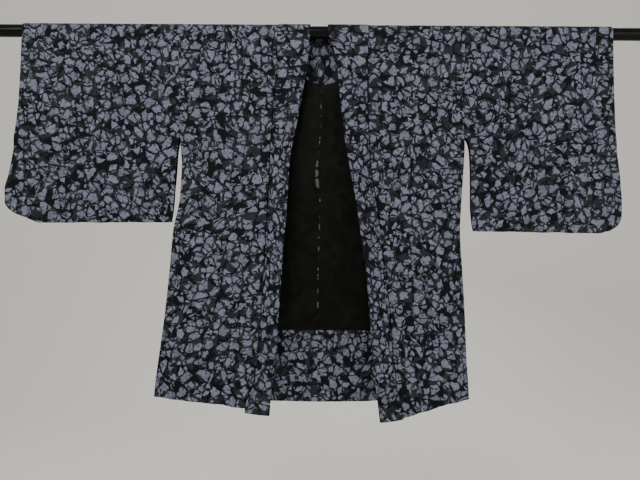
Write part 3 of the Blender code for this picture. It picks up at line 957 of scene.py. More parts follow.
@dataclass
class BodyHalf:
    """Half of the body: one strip over the shoulder, its gusset, lining and turned-up hem."""

    side: Side
    outline: tuple[OutlineRow, ...]
    lengths: Lengths
    front_folds: tuple[Fold, ...]
    back_folds: tuple[Fold, ...]
    front_creases: tuple[Crease, ...]
    back_creases: tuple[Crease, ...]
    lining_creases: tuple[Crease, ...]
    shift: tuple[float, float]
    flat: tuple[float, float]
    area: float
    gusset_top_width: float = 0.020
    gusset_hem_width: float = 0.065

    def front_depth(self, x: Array, z: Array, across: Array, run: Array) -> Array:
        """Depth of the front panel with its folds, creases and puckers.

        Args:
            x: Places across.
            z: Heights below the rod.
            across: Shares from the side to the middle.
            run: Runs of cloth from the top of the rod.

        Returns:
            Depths off the plain hang.
        """
        seed = 2.0 + self.side.value
        hanging = ease(-z / FREE_HANG)
        loose = hanging * swell(across / 0.08) * swell((1 - across) / 0.06)
        small = crease_depth(self.front_creases, x, z)
        small += 0.0010 * crinkle(x, z, WRINKLE, seed) + 0.0004 * crinkle(x, z, FINE_WRINKLE, seed + 5)
        width = along(self.outline, "side", z) - along(self.outline, "seam", z)
        to_seam = (1 - across) * np.abs(width)
        sewn = 0.0011 * puckers(to_seam, run, seed + 9) * hanging
        armhole = 0.0007 * puckers(across * np.abs(width), run, seed + 14, 0.007) * hanging
        over_rod = 0.0005 * (1 + crinkle(x, run, ROD_WRINKLE, seed + 2)) * (1 - hanging)
        rolled = -0.0024 * np.exp(-to_seam / 0.003) * hanging
        return (panel_swing(FRONT_SWING, across, z) + fold_depth(self.front_folds, x, z)
                + small * loose + sewn + armhole + over_rod + rolled)

    def front_grid(self) -> tuple[Array, Array, Array]:
        """Points of the front panel, and its places across and along the flat cloth.

        Returns:
            Points, places across the flat cloth, and places along it.
        """
        across = spread(PANEL_WIDTH)[None, :]
        turn = np.linspace(0.0, QUARTER_RUN, TURN_ROWS + 1)[:-1, None]
        hem = self.lengths.side + (self.lengths.seam - self.lengths.side) * across ** 1.3
        ripple = 0.0012 * crinkle(across * PANEL_WIDTH, np.zeros_like(across), 0.03, 4.0)
        below = QUARTER_RUN + (hem + ripple) * spread(PANEL_LENGTH)[:, None]
        run = np.concatenate([np.broadcast_to(turn, (TURN_ROWS, across.shape[1])), below])
        z = np.minimum(QUARTER_RUN - run, 0.0)
        outer = along(self.outline, "side", z)
        inner = along(self.outline, "seam", z) + self.side.value * SEAM
        x = outer + (inner - outer) * across
        points = hang(x, run, Face.FRONT, CLOTH, self.front_depth(x, z, across, run))
        return points, np.abs(x - outer), run

    def back_tops(self) -> tuple[Array, Array]:
        """Places across and runs at the top of each column of the back, side to centre.

        Returns:
            Places across, and runs.
        """
        front = spread(PANEL_WIDTH)
        start = RIGHT_OUTLINE[0].seam if self.side is Side.RIGHT else LEFT_OUTLINE[0].seam
        start += self.side.value * SEAM
        outer = self.outline[0].side
        shoulder = outer + (start - outer) * front
        right, left = RIGHT_OUTLINE[0].seam, LEFT_OUTLINE[0].seam
        centre = math.acos(((right + left) / 2 - CENTRE_SEAM) / ((left - right) / 2)) / math.pi
        share = np.linspace(0.0, 1.0, NECK_COLUMNS)[1:] ** NECK_CROWDING
        turn = share * centre if self.side is Side.RIGHT else 1 - share * (1 - centre)
        neck_x, neck_run = neck_line(turn, -NECK_OVERLAP)
        neck_x[-1] = CENTRE_SEAM
        return (np.concatenate([shoulder, neck_x]),
                np.concatenate([np.zeros_like(shoulder), neck_run]))

    def back_depth(self, x: Array, z: Array, across: Array) -> Array:
        """Depth of the back panel's inner layer, its broad folds alone."""
        return panel_swing(BACK_SWING, across, z) + fold_depth(self.back_folds, x, z)

    def back_columns(self, first: Array, hem: Array | float,
                     rows: Array) -> tuple[Array, Array, Array, Array]:
        """Places of a back layer between a first run and a height.

        Args:
            first: Run at which each column starts.
            hem: Height at which each ends, as a length below the rod.
            rows: Shares of the way down.

        Returns:
            Places across, heights, runs, and shares from the side to the centre seam.
        """
        top_x, _ = self.back_tops()
        outer = self.outline[0].side
        across = ((top_x - outer) / (CENTRE_SEAM - outer))[None, :]
        run = first[None, :] + (QUARTER_RUN + hem - first[None, :]) * rows[:, None]
        z = np.minimum(QUARTER_RUN - run, 0.0)
        x = top_x[None, :] + (along(self.outline, "side", z) - outer) * (1 - across)
        return x, z, run, across

    def back_grid(self) -> tuple[Array, Array, Array]:
        """Points of the back panel, and its places across and along the flat cloth.

        Returns:
            Points, places across the flat cloth, and places along it.
        """
        top_x, top_run = self.back_tops()
        outer = self.outline[0].side
        across = (top_x - outer) / (CENTRE_SEAM - outer)
        hem = self.lengths.side + (self.lengths.back - self.lengths.side) * swell(across)
        step = np.maximum(0.0004, (QUARTER_RUN - top_run) / TURN_ROWS)
        turn = top_run[None, :] + step[None, :] * np.arange(TURN_ROWS)[:, None]
        x, z, run, share = self.back_columns(top_run + step * TURN_ROWS, hem, spread(PANEL_LENGTH))
        run = np.concatenate([turn, run])
        z = np.minimum(QUARTER_RUN - run, 0.0)
        x = np.concatenate([np.broadcast_to(top_x, turn.shape), x])
        seed = 7.0 + self.side.value
        hanging = ease(-z / FREE_HANG)
        loose = hanging * swell(share / 0.08) * swell((1 - share) / 0.04)
        small = np.abs(crease_depth(self.back_creases, x, z))
        small += 0.0006 * (1 + crinkle(x, z, WRINKLE, seed)) + 0.0004 * (
            1 + crinkle(x, z, FINE_WRINKLE, seed + 5))
        seam = 0.0006 * (1 + puckers((1 - share) * 0.31, run, seed + 9)) * hanging
        over_rod = 0.0005 * (1 + crinkle(x, run, ROD_WRINKLE, seed + 2)) * (1 - hanging)
        shoulder = np.broadcast_to((top_run == 0.0) & (np.arange(len(top_x)) > 0), x.shape)
        over_rod = np.where((run == 0.0) & shoulder, 0.0005 * (1 + crinkle(
            x, run, ROD_WRINKLE, 2.0 + self.side.value + 2)), over_rod)
        depth = self.back_depth(x, z, share) + small * loose + seam + over_rod
        points = hang(x, run, Face.BACK, CLOTH, depth)
        return points, np.abs(x - outer) + np.zeros_like(run), -run

    def build_strip(self, finishes: Finishes) -> bpy.types.Object:
        """Front and back in one strip of cloth that lies over the rod.

        Args:
            finishes: The finishes of the garment.

        Returns:
            The piece.
        """
        name = "body_" + self.side.word
        sheet = Sheet(name, CLOTH)
        front, front_u, front_v = self.front_grid()
        back, back_u, back_v = self.back_grid()
        shared = front.shape[1]
        back[0, :shared] = front[0]
        flip = self.side is Side.RIGHT
        sheet.add(front, front_u, front_v, self.shift)
        sheet.add(back[::-1], back_u[::-1], back_v[::-1], self.shift)
        piece = sheet.build([finishes.crepe, finishes.lining], flip)
        return finished(piece,
                        ("front_" + self.side.word, "back_" + self.side.word))

    def inner_layer(self, x: Array, z: Array, run: Array, across: Array,
                    lift: Array) -> Array:
        """Points of a layer that lies inside the back, lifted toward the front by lift.

        Args:
            x: Places across.
            z: Heights below the rod.
            run: Runs of cloth from the top of the rod.
            across: Shares from the side to the middle.
            lift: Heights off the back's inner face.

        Returns:
            The points.
        """
        inset = CLOTH / 2 + LAYER_GAP + LINING / 2
        depth = self.back_depth(x, z, across) - inset - lift
        return hang(x, run, Face.BACK, CLOTH, depth)

    def clear_side(self, x: Array) -> Array:
        """Places moved a little in from the side seam, where the gusset is sewn on.

        Args:
            x: Places across, the side's first.

        Returns:
            The moved places.
        """
        edge = x[:, :1]
        near = np.clip(1 - np.abs(x - edge) / 0.03, 0, 1)
        return x - self.side.value * GUSSET_MARGIN * near

    def build_lining(self, finishes: Finishes) -> bpy.types.Object:
        """Lining of the back, puckered along the centre seam.

        Args:
            finishes: The finishes of the garment.

        Returns:
            The piece.
        """
        _, top_run = self.back_tops()
        first = np.maximum(top_run + 0.0006, QUARTER_RUN - LINING_TOP)
        x, z, run, across = self.back_columns(first, -TURN_UP_TOP, spread(LINING_LENGTH, 0.0042))
        near_seam = np.clip((across - 0.78) / 0.22, 0, 1) ** 2
        x = self.clear_side(x) + (along(LINING_SEAM, "x", z) - CENTRE_SEAM) * near_seam
        to_seam = np.abs(x - x[:, -1:])
        seed = 30.0
        gathered = 0.4 + 1.5 * np.exp(-((z + 0.33) / 0.055) ** 2)
        rolled = 0.0015 * np.exp(-to_seam / 0.005)
        lift = np.abs(crease_depth(self.lining_creases, x, z)) + rolled
        lift = lift + 0.0013 * gathered * np.abs(puckers(to_seam, run, seed, 0.008))
        lift = lift + 0.0005 * (1 + crinkle(x, z, 0.03, seed + 2))
        ends = swell((run - first[None, :]) / 0.02) * swell((z - TURN_UP_TOP) / 0.02)
        points = self.inner_layer(x, z, run, across, lift * ends)
        sheet = Sheet("lining_of_back_" + self.side.word, LINING, 0.0003)
        sheet.add(points, np.abs(x), run, self.shift)
        piece = sheet.build([finishes.lining], self.side is Side.RIGHT)
        return finished(piece, ("lining_" + self.side.word,))

    def build_turn_up(self, finishes: Finishes) -> bpy.types.Object:
        """Outer cloth turned up inside the hem of the back.

        Args:
            finishes: The finishes of the garment.

        Returns:
            The piece.
        """
        top_x, _ = self.back_tops()
        outer = self.outline[0].side
        share = (top_x - outer) / (CENTRE_SEAM - outer)
        hem = self.lengths.side + (self.lengths.back - self.lengths.side) * swell(share)
        first = np.full_like(top_x, QUARTER_RUN - TURN_UP_TOP + SEAM)
        x, z, run, across = self.back_columns(first, hem - 0.0005, spread(TURN_UP_LENGTH, 0.0046))
        x = self.clear_side(x)
        lift = 0.0004 * (1 + crinkle(x, z, 0.04, 41.0)) + 0.0002 * (1 + crinkle(x, z, 0.014, 44.0))
        edges = swell((-z + TURN_UP_TOP) / 0.012) * swell((z + hem[None, :]) / 0.012)
        to_seam = np.abs(x - x[:, -1:])
        lift = lift + 0.0007 * np.abs(puckers(to_seam, run, 47.0, 0.006))
        points = self.inner_layer(x, z, run, across, lift * edges)
        sheet = Sheet("turned_up_hem_" + self.side.word, LINING, 0.0003)
        sheet.add(points, np.abs(x), 2 * (QUARTER_RUN - TURN_UP_TOP) - run,
                  (self.shift[0] + 0.61, self.shift[1] + 0.37))
        piece = sheet.build([finishes.crepe], self.side is Side.RIGHT)
        return finished(piece, ("hem_turn_up_" + self.side.word,))

    def build_gusset(self, finishes: Finishes) -> bpy.types.Object:
        """Long narrow gusset between front and back, tucked inward down its middle.

        Args:
            finishes: The finishes of the garment.

        Returns:
            The piece.
        """
        share = spread(-GUSSET_TOP + 0.15)[:, None]
        z = GUSSET_TOP + (-self.lengths.side - GUSSET_TOP) * share
        zero = np.zeros_like(z)
        x = along(self.outline, "side", z)
        front = self.front_depth(x, z, zero, QUARTER_RUN - z)
        back = self.back_depth(x, z, zero)
        reach = ROD_RADIUS + REST_GAP + CLOTH / 2 - CLOTH - 2 * SEAM
        front_y = -(reach + front) + 0.0004
        back_y = reach + back
        span = back_y - front_y
        width = self.gusset_top_width + (self.gusset_hem_width - self.gusset_top_width) * share
        tuck = np.sqrt(np.maximum(width ** 2 - span ** 2, 0.0)) / 2
        t = np.linspace(0.0, 1.0, 15)[None, :]
        uneven = 1 + 0.10 * crinkle(z + 0 * t, t * 0.05 + 0 * z, 0.05, 12.0)
        across = x - self.side.value * (CLOTH / 2 + tuck * np.sin(math.pi * t) * uneven)
        points = np.stack(np.broadcast_arrays(across, front_y + span * t, z), axis=-1)
        sheet = Sheet("side_gusset_" + self.side.word, CLOTH)
        sheet.add(points, t * 0.065, -z, (self.shift[0] + 1.3, self.shift[1]))
        piece = sheet.build([finishes.crepe, finishes.lining], self.side is Side.LEFT)
        return finished(piece, ("gusset_" + self.side.word,))

    def build(self, finishes: Finishes) -> None:
        """Builds all the pieces of this half.

        Args:
            finishes: The finishes of the garment.
        """
        self.build_strip(finishes)
        self.build_gusset(finishes)
        self.build_lining(finishes)
        self.build_turn_up(finishes)


@dataclass
class LiningSeam:
    """Puckered edge that peeps out of the centre seam of the lining in short stretches, pale with
    painted highlight.
    """

    half: BodyHalf
    top: float = -0.127
    bottom: float = -0.640
    narrow: float = 0.0038
    wide: float = 0.0078
    open_at: float = -0.320
    open_reach: float = 0.035
    crown: float = 0.0060

    def build(self, finishes: Finishes) -> bpy.types.Object:
        """Builds the edge as a narrow pale strip of painted highlight that sinks into the seam between
        its puckers.

        Args:
            finishes: The finishes of the garment.

        Returns:
            The piece.
        """
        z = np.linspace(self.top, self.bottom, 271)[:, None]
        run = QUARTER_RUN - z
        open_here = np.exp(-((z - self.open_at) / self.open_reach) ** 2)
        width = self.narrow + (self.wide - self.narrow) * open_here
        share = np.linspace(-0.5, 0.5, 5)[None, :]
        x = along(LINING_SEAM, "x", z) + width * share
        x = x + 0.0012 * open_here * crinkle(run, 0 * run, 0.010, 90.0)
        z, run, x = np.broadcast_arrays(z, run, x)
        peep = crinkle(run, share * 0.004, 0.016, 93.0) + 0.6 * crinkle(run, 0 * run, 0.007, 95.0)
        lift = 0.0021 + 0.0019 * peep + 0.0014 * open_here - self.crown * share ** 2
        lift = lift + np.abs(crease_depth(self.half.lining_creases, x, z))
        points = self.half.inner_layer(x, z, run, np.ones_like(x), lift)
        sheet = Sheet("lining_seam_painted_highlight", 0.0006, 0.0001)
        sheet.add(points, x, run, (0.0, 0.0))
        # The strip's pale grey is painted highlight on the lining seam's puckers
        piece = sheet.build([finishes.edge], True)
        return finished(piece, ())


@dataclass
class Collar:
    """Collar: one folded strip up the right front, behind the neck and down the left front."""

    right: BodyHalf
    left: BodyHalf
    bulge: float = 0.0045
    neck_bulge: float = 0.003
    columns: int = 15
    shift: tuple[float, float] = (2.9, 0.2)

    def front_rows(self, half: BodyHalf) -> Array:
        """Points of one front of the collar, from the shoulder to its end.

        Args:
            half: Half of the body whose front it edges.

        Returns:
            The points.
        """
        across = np.linspace(0.0, 1.0, self.columns)[None, :]
        lengths = half.lengths
        hem = lengths.collar + (lengths.edge - lengths.collar) * across
        turn = np.linspace(0.0, QUARTER_RUN, TURN_ROWS + 1)[:-1, None]
        below = QUARTER_RUN + hem * spread(0.85)[:, None]
        run = np.concatenate([np.broadcast_to(turn, (TURN_ROWS, self.columns)), below])
        z = np.minimum(QUARTER_RUN - run, 0.0)
        hanging = ease(-z / 0.15)
        groove = COLLAR_GROOVE * hanging * ease((z + 0.805) / 0.06) * (0.75 + 0.5 * crinkle(
            run, 0 * run, 0.05, 65.0))
        seam = along(half.outline, "seam", z) - half.side.value * groove
        x = seam + (along(half.outline, "edge", z) - seam) * across
        depth = panel_swing(FRONT_SWING, np.ones_like(z), z)
        depth += fold_depth(half.front_folds, seam, z)
        depth += self.bulge * np.sin(math.pi * across) * hanging
        seed = 60.0 + half.side.value
        width = np.abs(x - seam)
        depth -= 0.0018 * np.exp(-width / 0.0025) * hanging
        gathers = 0.0016 if half.side is Side.LEFT else 0.0009
        depth += gathers * puckers(width, run, seed, 0.011) * hanging
        depth += 0.0008 * crinkle(width, run, 0.030, seed + 4) * hanging
        depth += 0.0005 * (1 + crinkle(width, run, 0.03, seed + 2)) * (1 - hanging)
        if half.side is Side.RIGHT:
            low = ease((-z - 0.70) / 0.06) * np.exp(-width / 0.018)
            depth += 0.0022 * np.sin(run * 2 * math.pi / 0.026) * low
        return hang(x, run, Face.FRONT, COLLAR, depth)

    def neck_rows(self) -> Array:
        """Points of the collar behind the neck, from the right shoulder to the left.

        Returns:
            The points.
        """
        turn = (0.5 - 0.5 * np.cos(np.linspace(0.0, math.pi, 72)))[1:-1, None]
        turn = 0.35 * turn + 0.65 * np.linspace(0.0, 1.0, 72)[1:-1, None]
        share = np.linspace(0.0, 1.0, self.columns)[None, :]
        seam_x, seam_run = neck_line(turn)
        free_x, free_run = neck_free_edge(turn, seam_run)
        x = seam_x + (free_x - seam_x) * share
        run = seam_run + (free_run - seam_run) * share
        z = np.minimum(QUARTER_RUN - run, 0.0)
        bulge = self.neck_bulge * np.sin(math.pi * share) * ease(-z / 0.05)
        bulge = bulge + 0.0008 * (1 + crinkle(x, z, 0.03, 71.0)) * ease(-z / 0.03)
        depth = panel_swing(BACK_SWING, np.ones_like(z), z) + bulge
        depth = depth + 0.0004 * (1 - ease(-z / 0.03))
        return hang(x, run, Face.BACK, COLLAR, depth)

    def build(self, finishes: Finishes) -> bpy.types.Object:
        """Builds the whole strip as one piece.

        Args:
            finishes: The finishes of the garment.

        Returns:
            The piece.
        """
        right = self.front_rows(self.right)
        left = self.front_rows(self.left)
        neck = self.neck_rows()
        points = np.concatenate([right[::-1], neck, left])
        middle = (points[:, 0] + points[:, -1]) / 2
        steps = np.linalg.norm(np.diff(middle, axis=0), axis=1)
        length = np.concatenate([[0.0], np.cumsum(steps)])[:, None]
        across = np.linspace(0.0, 0.060, self.columns)[None, :]
        sheet = Sheet("collar_strip", COLLAR, 0.0009)
        sheet.add(points, across + 0 * length, length + 0 * across, self.shift)
        piece = sheet.build([finishes.crepe])
        return finished(piece,
                        ("collar_right", "collar_neck", "collar_left"))


@dataclass
class Sleeve:
    """Wide sleeve: a strip folded over the rod, closed along the bottom and under the cuff."""

    side: Side
    edges: tuple[SleeveRow, ...]
    inner_length: float
    outer_length: float
    folds: tuple[Fold, ...]
    front_creases: tuple[Crease, ...]
    back_creases: tuple[Crease, ...]
    pressed: float
    shift: tuple[float, float]
    flat: tuple[float, float]
    area: float
    crease_height: float = -0.352
    crease_width: float = 0.018
    bottom_rounding: float = 0.055
    cuff_rounding: float = 0.050

    def grid(self, face: Face) -> tuple[Array, Array, Array]:
        """Points of one side of the sleeve, and its places across and along the cloth.

        Args:
            face: Side of the rod.

        Returns:
            Points, places across the flat cloth, and places along it.
        """
        share = spread(0.35)[None, :]
        across = swell(share) * 0.35 + share * 0.65
        bottom = self.inner_length + (self.outer_length - self.inner_length) * across
        bottom = bottom + 0.0014 * crinkle(across, np.zeros_like(across), 0.12, 5.0)
        down = spread(0.45)[:, None]
        down = down * 0.55 + swell(down) * 0.45
        turn = np.linspace(0.0, QUARTER_RUN, TURN_ROWS + 1)[:-1, None]
        below = QUARTER_RUN + bottom * down
        run = np.concatenate([np.broadcast_to(turn, (TURN_ROWS, share.shape[1])), below])
        z = np.minimum(QUARTER_RUN - run, 0.0)
        inner = along(self.edges, "inner", z) + self.side.value * SEAM
        outer = along(self.edges, "outer", z)
        x = inner + (outer - inner) * across
        points = hang(x, run, face, CLOTH, self.depth(face, x, z, run, across, bottom, outer))
        return points, np.abs(x - inner[:1]), run * -face.value

    def depth(self, face: Face, x: Array, z: Array, run: Array, across: Array, bottom: Array,
              outer: Array) -> Array:
        """Depth of a side of the sleeve off the plain hang, closing toward its seams.

        Args:
            face: Side of the rod.
            x: Places across.
            z: Heights below the rod.
            run: Runs of cloth from the top of the rod.
            across: Shares from the armhole to the cuff.
            bottom: Lengths below the rod.
            outer: Places of the cuff's edge.

        Returns:
            Depths off the plain hang.
        """
        creases = self.front_creases if face is Face.FRONT else self.back_creases
        seed = 80.0 + self.side.value + 4 * face.value
        shut = CLOTH / 2 + SEAM / 2
        reach = ROD_RADIUS + REST_GAP + CLOTH / 2
        hanging = ease(-z / FREE_HANG)
        swing = along(SLEEVE_SWING, "middle", z)
        swing = swing + fold_depth(self.folds, x, z) * swell((1 - across) * 4)
        near = 1 - np.clip(np.abs(z - self.crease_height) / self.crease_width, 0, 1)
        swing = swing - self.pressed * near * (1 - 0.6 * across)
        loose = hanging * swell(across / 0.08)
        small = crease_depth(creases, x, z) + 0.0010 * crinkle(x, z, WRINKLE, seed)
        small = small + 0.0004 * crinkle(x, z, FINE_WRINKLE, seed + 5)
        sewn = 0.0007 * puckers(across * 0.34, run, 2.0 + self.side.value + 14, 0.007) * hanging
        over_rod = 0.0005 * (1 + crinkle(x, run, ROD_WRINKLE, 80.0 + self.side.value)) * (1 - hanging)
        swing = swing + small * loose + sewn
        full = swell((z + bottom) / self.bottom_rounding)
        closing = ease((-z - CUFF_OPENING) / 0.03)
        full = full * (1 - closing * (1 - swell(np.abs(outer - x) / self.cuff_rounding)))
        return shut + (reach + swing - shut) * full - reach + over_rod

    def build(self, finishes: Finishes) -> bpy.types.Object:
        """Builds the sleeve as one strip folded over the rod.

        Args:
            finishes: The finishes of the garment.

        Returns:
            The piece.
        """
        sheet = Sheet("sleeve_" + self.side.word, CLOTH)
        front, front_u, front_v = self.grid(Face.FRONT)
        back, back_u, back_v = self.grid(Face.BACK)
        sheet.add(front, front_u, front_v, self.shift)
        sheet.add(back[::-1], back_u[::-1], back_v[::-1], self.shift)
        piece = sheet.build([finishes.crepe, finishes.lining], self.side is Side.LEFT)
        return finished(piece, (
            "sleeve_" + self.side.word + "_front", "sleeve_" + self.side.word + "_back"))


RIGHT_HALF = BodyHalf(
    side=Side.RIGHT,
    outline=RIGHT_OUTLINE,
    lengths=Lengths(0.8065, 0.8290, 0.8375, 0.8440, 0.8270),
    front_folds=(
        Fold(-0.245, -0.30, 0.30, 0.06, 0.040, 0.0045),
        Fold(-0.175, -0.42, 0.25, 0.10, 0.030, -0.0035),
    ),
    back_folds=(
        Fold(-0.215, -0.25, 0.30, 0.05, 0.050, 0.0050),
        Fold(-0.095, -0.35, 0.30, 0.03, 0.035, -0.0030),
    ),
    front_creases=(
        Crease(-0.300, -0.215, 0.070, -0.045, 0.012, -0.0022),
        Crease(-0.296, -0.270, 0.050, -0.060, 0.011, 0.0018),
        Crease(-0.288, -0.310, 0.085, -0.030, 0.010, -0.0016),
        Crease(-0.268, -0.360, 0.018, -0.180, 0.014, -0.0020),
        Crease(-0.205, -0.120, 0.012, -0.210, 0.016, -0.0014),
        Crease(-0.135, -0.260, -0.012, -0.300, 0.013, -0.0018),
        Crease(-0.232, -0.560, -0.020, -0.230, 0.014, -0.0022),
        Crease(-0.300, -0.640, -0.018, -0.150, 0.013, 0.0018),
        Crease(-0.180, -0.690, -0.014, -0.120, 0.012, 0.0020),
        Crease(-0.260, -0.705, 0.070, 0.016, 0.009, -0.0012),
        Crease(-0.165, -0.455, 0.042, 0.022, 0.008, -0.0011),
        Crease(-0.250, -0.080, 0.100, -0.012, 0.010, -0.0010),
    ),
    back_creases=(
        Crease(-0.290, -0.230, 0.080, -0.050, 0.013, 0.0020),
        Crease(-0.240, -0.300, 0.012, -0.240, 0.015, 0.0022),
        Crease(-0.150, -0.180, -0.010, -0.280, 0.016, 0.0018),
        Crease(-0.060, -0.240, -0.008, -0.330, 0.015, 0.0016),
        Crease(-0.280, -0.560, -0.022, -0.200, 0.014, 0.0020),
        Crease(-0.120, -0.620, -0.010, -0.170, 0.013, 0.0022),
        Crease(-0.210, -0.700, 0.080, 0.010, 0.010, 0.0012),
    ),
    lining_creases=(
        Crease(-0.030, -0.140, -0.012, -0.230, 0.008, 0.0012),
        Crease(-0.050, -0.360, 0.010, -0.240, 0.009, 0.0013),
        Crease(-0.022, -0.300, -0.020, -0.090, 0.006, 0.0014),
        Crease(-0.070, -0.470, 0.020, -0.160, 0.008, 0.0010),
    ),
    shift=(0.0, 0.0),
    flat=(0.358, 1.700),
    area=0.452,
)
LEFT_HALF = BodyHalf(
    side=Side.LEFT,
    outline=LEFT_OUTLINE,
    lengths=Lengths(0.8085, 0.8480, 0.8500, 0.8575, 0.8270),
    front_folds=(
        Fold(0.215, -0.22, 0.30, -0.04, 0.045, 0.0045),
        Fold(0.275, -0.36, 0.25, -0.03, 0.028, -0.0030),
    ),
    back_folds=(
        Fold(0.225, -0.28, 0.30, -0.05, 0.050, 0.0045),
        Fold(0.100, -0.32, 0.30, -0.02, 0.035, -0.0030),
    ),
    front_creases=(
        Crease(0.317, -0.200, -0.085, -0.040, 0.012, -0.0022),
        Crease(0.312, -0.250, -0.060, -0.075, 0.012, 0.0020),
        Crease(0.306, -0.300, -0.110, -0.020, 0.010, -0.0018),
        Crease(0.168, -0.180, 0.016, -0.260, 0.014, -0.0020),
        Crease(0.235, -0.380, 0.010, -0.220, 0.015, -0.0018),
        Crease(0.295, -0.450, 0.006, -0.260, 0.012, -0.0022),
        Crease(0.205, -0.600, 0.012, -0.200, 0.014, 0.0020),
        Crease(0.262, -0.660, 0.010, -0.140, 0.012, -0.0020),
        Crease(0.140, -0.110, 0.090, -0.020, 0.010, -0.0011),
        Crease(0.200, -0.520, 0.070, 0.018, 0.009, -0.0012),
        Crease(0.232, -0.735, 0.070, -0.012, 0.009, -0.0012),
    ),
    back_creases=(
        Crease(0.300, -0.220, -0.090, -0.050, 0.013, 0.0020),
        Crease(0.250, -0.320, -0.010, -0.220, 0.015, 0.0022),
        Crease(0.165, -0.200, 0.012, -0.260, 0.016, 0.0018),
        Crease(0.070, -0.230, 0.006, -0.300, 0.015, 0.0016),
        Crease(0.285, -0.540, 0.012, -0.210, 0.014, 0.0020),
        Crease(0.130, -0.600, 0.014, -0.180, 0.013, 0.0022),
        Crease(0.140, -0.715, 0.080, 0.012, 0.010, 0.0012),
    ),
    lining_creases=(
        Crease(0.032, -0.150, 0.010, -0.250, 0.008, 0.0012),
        Crease(0.055, -0.330, -0.012, -0.260, 0.009, 0.0013),
        Crease(0.026, -0.310, 0.022, -0.070, 0.006, 0.0014),
        Crease(0.080, -0.450, -0.016, -0.180, 0.008, 0.0010),
    ),
    shift=(0.9, 0.55),
    flat=(0.335, 1.720),
    area=0.430,
)
SLEEVES = (
    Sleeve(
        side=Side.RIGHT,
        edges=(
            SleeveRow(0.000, -0.3069, -0.6530),
            SleeveRow(-0.080, -0.3069, -0.6567),
            SleeveRow(-0.155, -0.3069, -0.6610),
            SleeveRow(-0.225, -0.3069, -0.6700),
            SleeveRow(-0.245, -0.3080, -0.6735),
            SleeveRow(-0.270, -0.3113, -0.6775),
            SleeveRow(-0.320, -0.3144, -0.6872),
            SleeveRow(-0.352, -0.3168, -0.6955),
            SleeveRow(-0.382, -0.3190, -0.6950),
            SleeveRow(-0.402, -0.3205, -0.6787),
            SleeveRow(-0.414, -0.3222, -0.6500),
            SleeveRow(-0.426, -0.3230, -0.6215),
        ),
        inner_length=0.4235,
        outer_length=0.4262,
        folds=(
            Fold(-0.430, -0.05, 0.15, 0.10, 0.045, 0.0022),
            Fold(-0.560, -0.08, 0.15, 0.05, 0.050, -0.0020),
        ),
        front_creases=(
            Crease(-0.524, -0.3510, 0.206, 0.0012, 0.0048, -0.0055),
            Crease(-0.428, -0.3943, 0.104, 0.0007, 0.0048, -0.0045),
            Crease(-0.650, -0.356, 0.150, 0.004, 0.006, 0.0013),
            Crease(-0.350, -0.100, -0.020, -0.210, 0.014, -0.0018),
            Crease(-0.480, -0.060, 0.012, -0.240, 0.016, -0.0016),
            Crease(-0.600, -0.120, -0.016, -0.190, 0.014, -0.0018),
            Crease(-0.640, -0.240, 0.100, -0.050, 0.012, -0.0014),
            Crease(-0.360, -0.300, -0.110, 0.024, 0.010, -0.0014),
            Crease(-0.420, -0.365, -0.030, -0.045, 0.010, 0.0014),
            Crease(-0.330, -0.235, -0.060, -0.055, 0.010, 0.0014),
            Crease(-0.560, -0.070, -0.080, -0.016, 0.010, -0.0010),
        ),
        back_creases=(
            Crease(-0.540, -0.350, 0.210, 0.002, 0.006, -0.0018),
            Crease(-0.370, -0.120, -0.014, -0.190, 0.014, -0.0018),
            Crease(-0.500, -0.070, 0.010, -0.230, 0.016, -0.0016),
            Crease(-0.615, -0.100, -0.012, -0.200, 0.014, 0.0016),
            Crease(-0.450, -0.250, -0.090, -0.040, 0.012, -0.0014),
        ),
        pressed=0.0035,
        shift=(0.25, 1.9),
        flat=(0.370, 0.880),
        area=0.305,
    ),
    Sleeve(
        side=Side.LEFT,
        edges=(
            SleeveRow(0.000, 0.3216, 0.6479),
            SleeveRow(-0.085, 0.3216, 0.6501),
            SleeveRow(-0.168, 0.3216, 0.6536),
            SleeveRow(-0.225, 0.3225, 0.6575),
            SleeveRow(-0.245, 0.3325, 0.6605),
            SleeveRow(-0.270, 0.3368, 0.6645),
            SleeveRow(-0.320, 0.3386, 0.6710),
            SleeveRow(-0.382, 0.3390, 0.6754),
            SleeveRow(-0.408, 0.3405, 0.6745),
            SleeveRow(-0.424, 0.3420, 0.6670),
            SleeveRow(-0.436, 0.3440, 0.6500),
            SleeveRow(-0.443, 0.3465, 0.6237),
        ),
        inner_length=0.4395,
        outer_length=0.4425,
        folds=(
            Fold(0.425, -0.06, 0.15, -0.06, 0.045, 0.0022),
            Fold(0.545, -0.05, 0.15, -0.12, 0.050, -0.0020),
        ),
        front_creases=(
            Crease(0.350, -0.090, 0.016, -0.230, 0.014, -0.0018),
            Crease(0.470, -0.060, -0.010, -0.250, 0.016, -0.0018),
            Crease(0.575, -0.110, 0.022, -0.230, 0.015, -0.0020),
            Crease(0.345, -0.240, 0.070, -0.060, 0.011, 0.0016),
            Crease(0.350, -0.310, 0.120, 0.018, 0.010, -0.0014),
            Crease(0.640, -0.240, -0.090, -0.070, 0.012, -0.0014),
            Crease(0.420, -0.350, 0.190, -0.006, 0.007, -0.0011),
            Crease(0.520, -0.380, 0.026, -0.050, 0.011, 0.0016),
            Crease(0.560, -0.060, 0.080, -0.012, 0.010, -0.0010),
        ),
        back_creases=(
            Crease(0.370, -0.110, 0.014, -0.220, 0.014, -0.0018),
            Crease(0.490, -0.070, -0.012, -0.240, 0.016, -0.0016),
            Crease(0.600, -0.120, 0.014, -0.200, 0.014, 0.0016),
            Crease(0.440, -0.260, 0.100, -0.030, 0.012, -0.0014),
        ),
        pressed=0.0012,
        shift=(1.35, 2.3),
        flat=(0.345, 0.905),
        area=0.300,
    ),
)


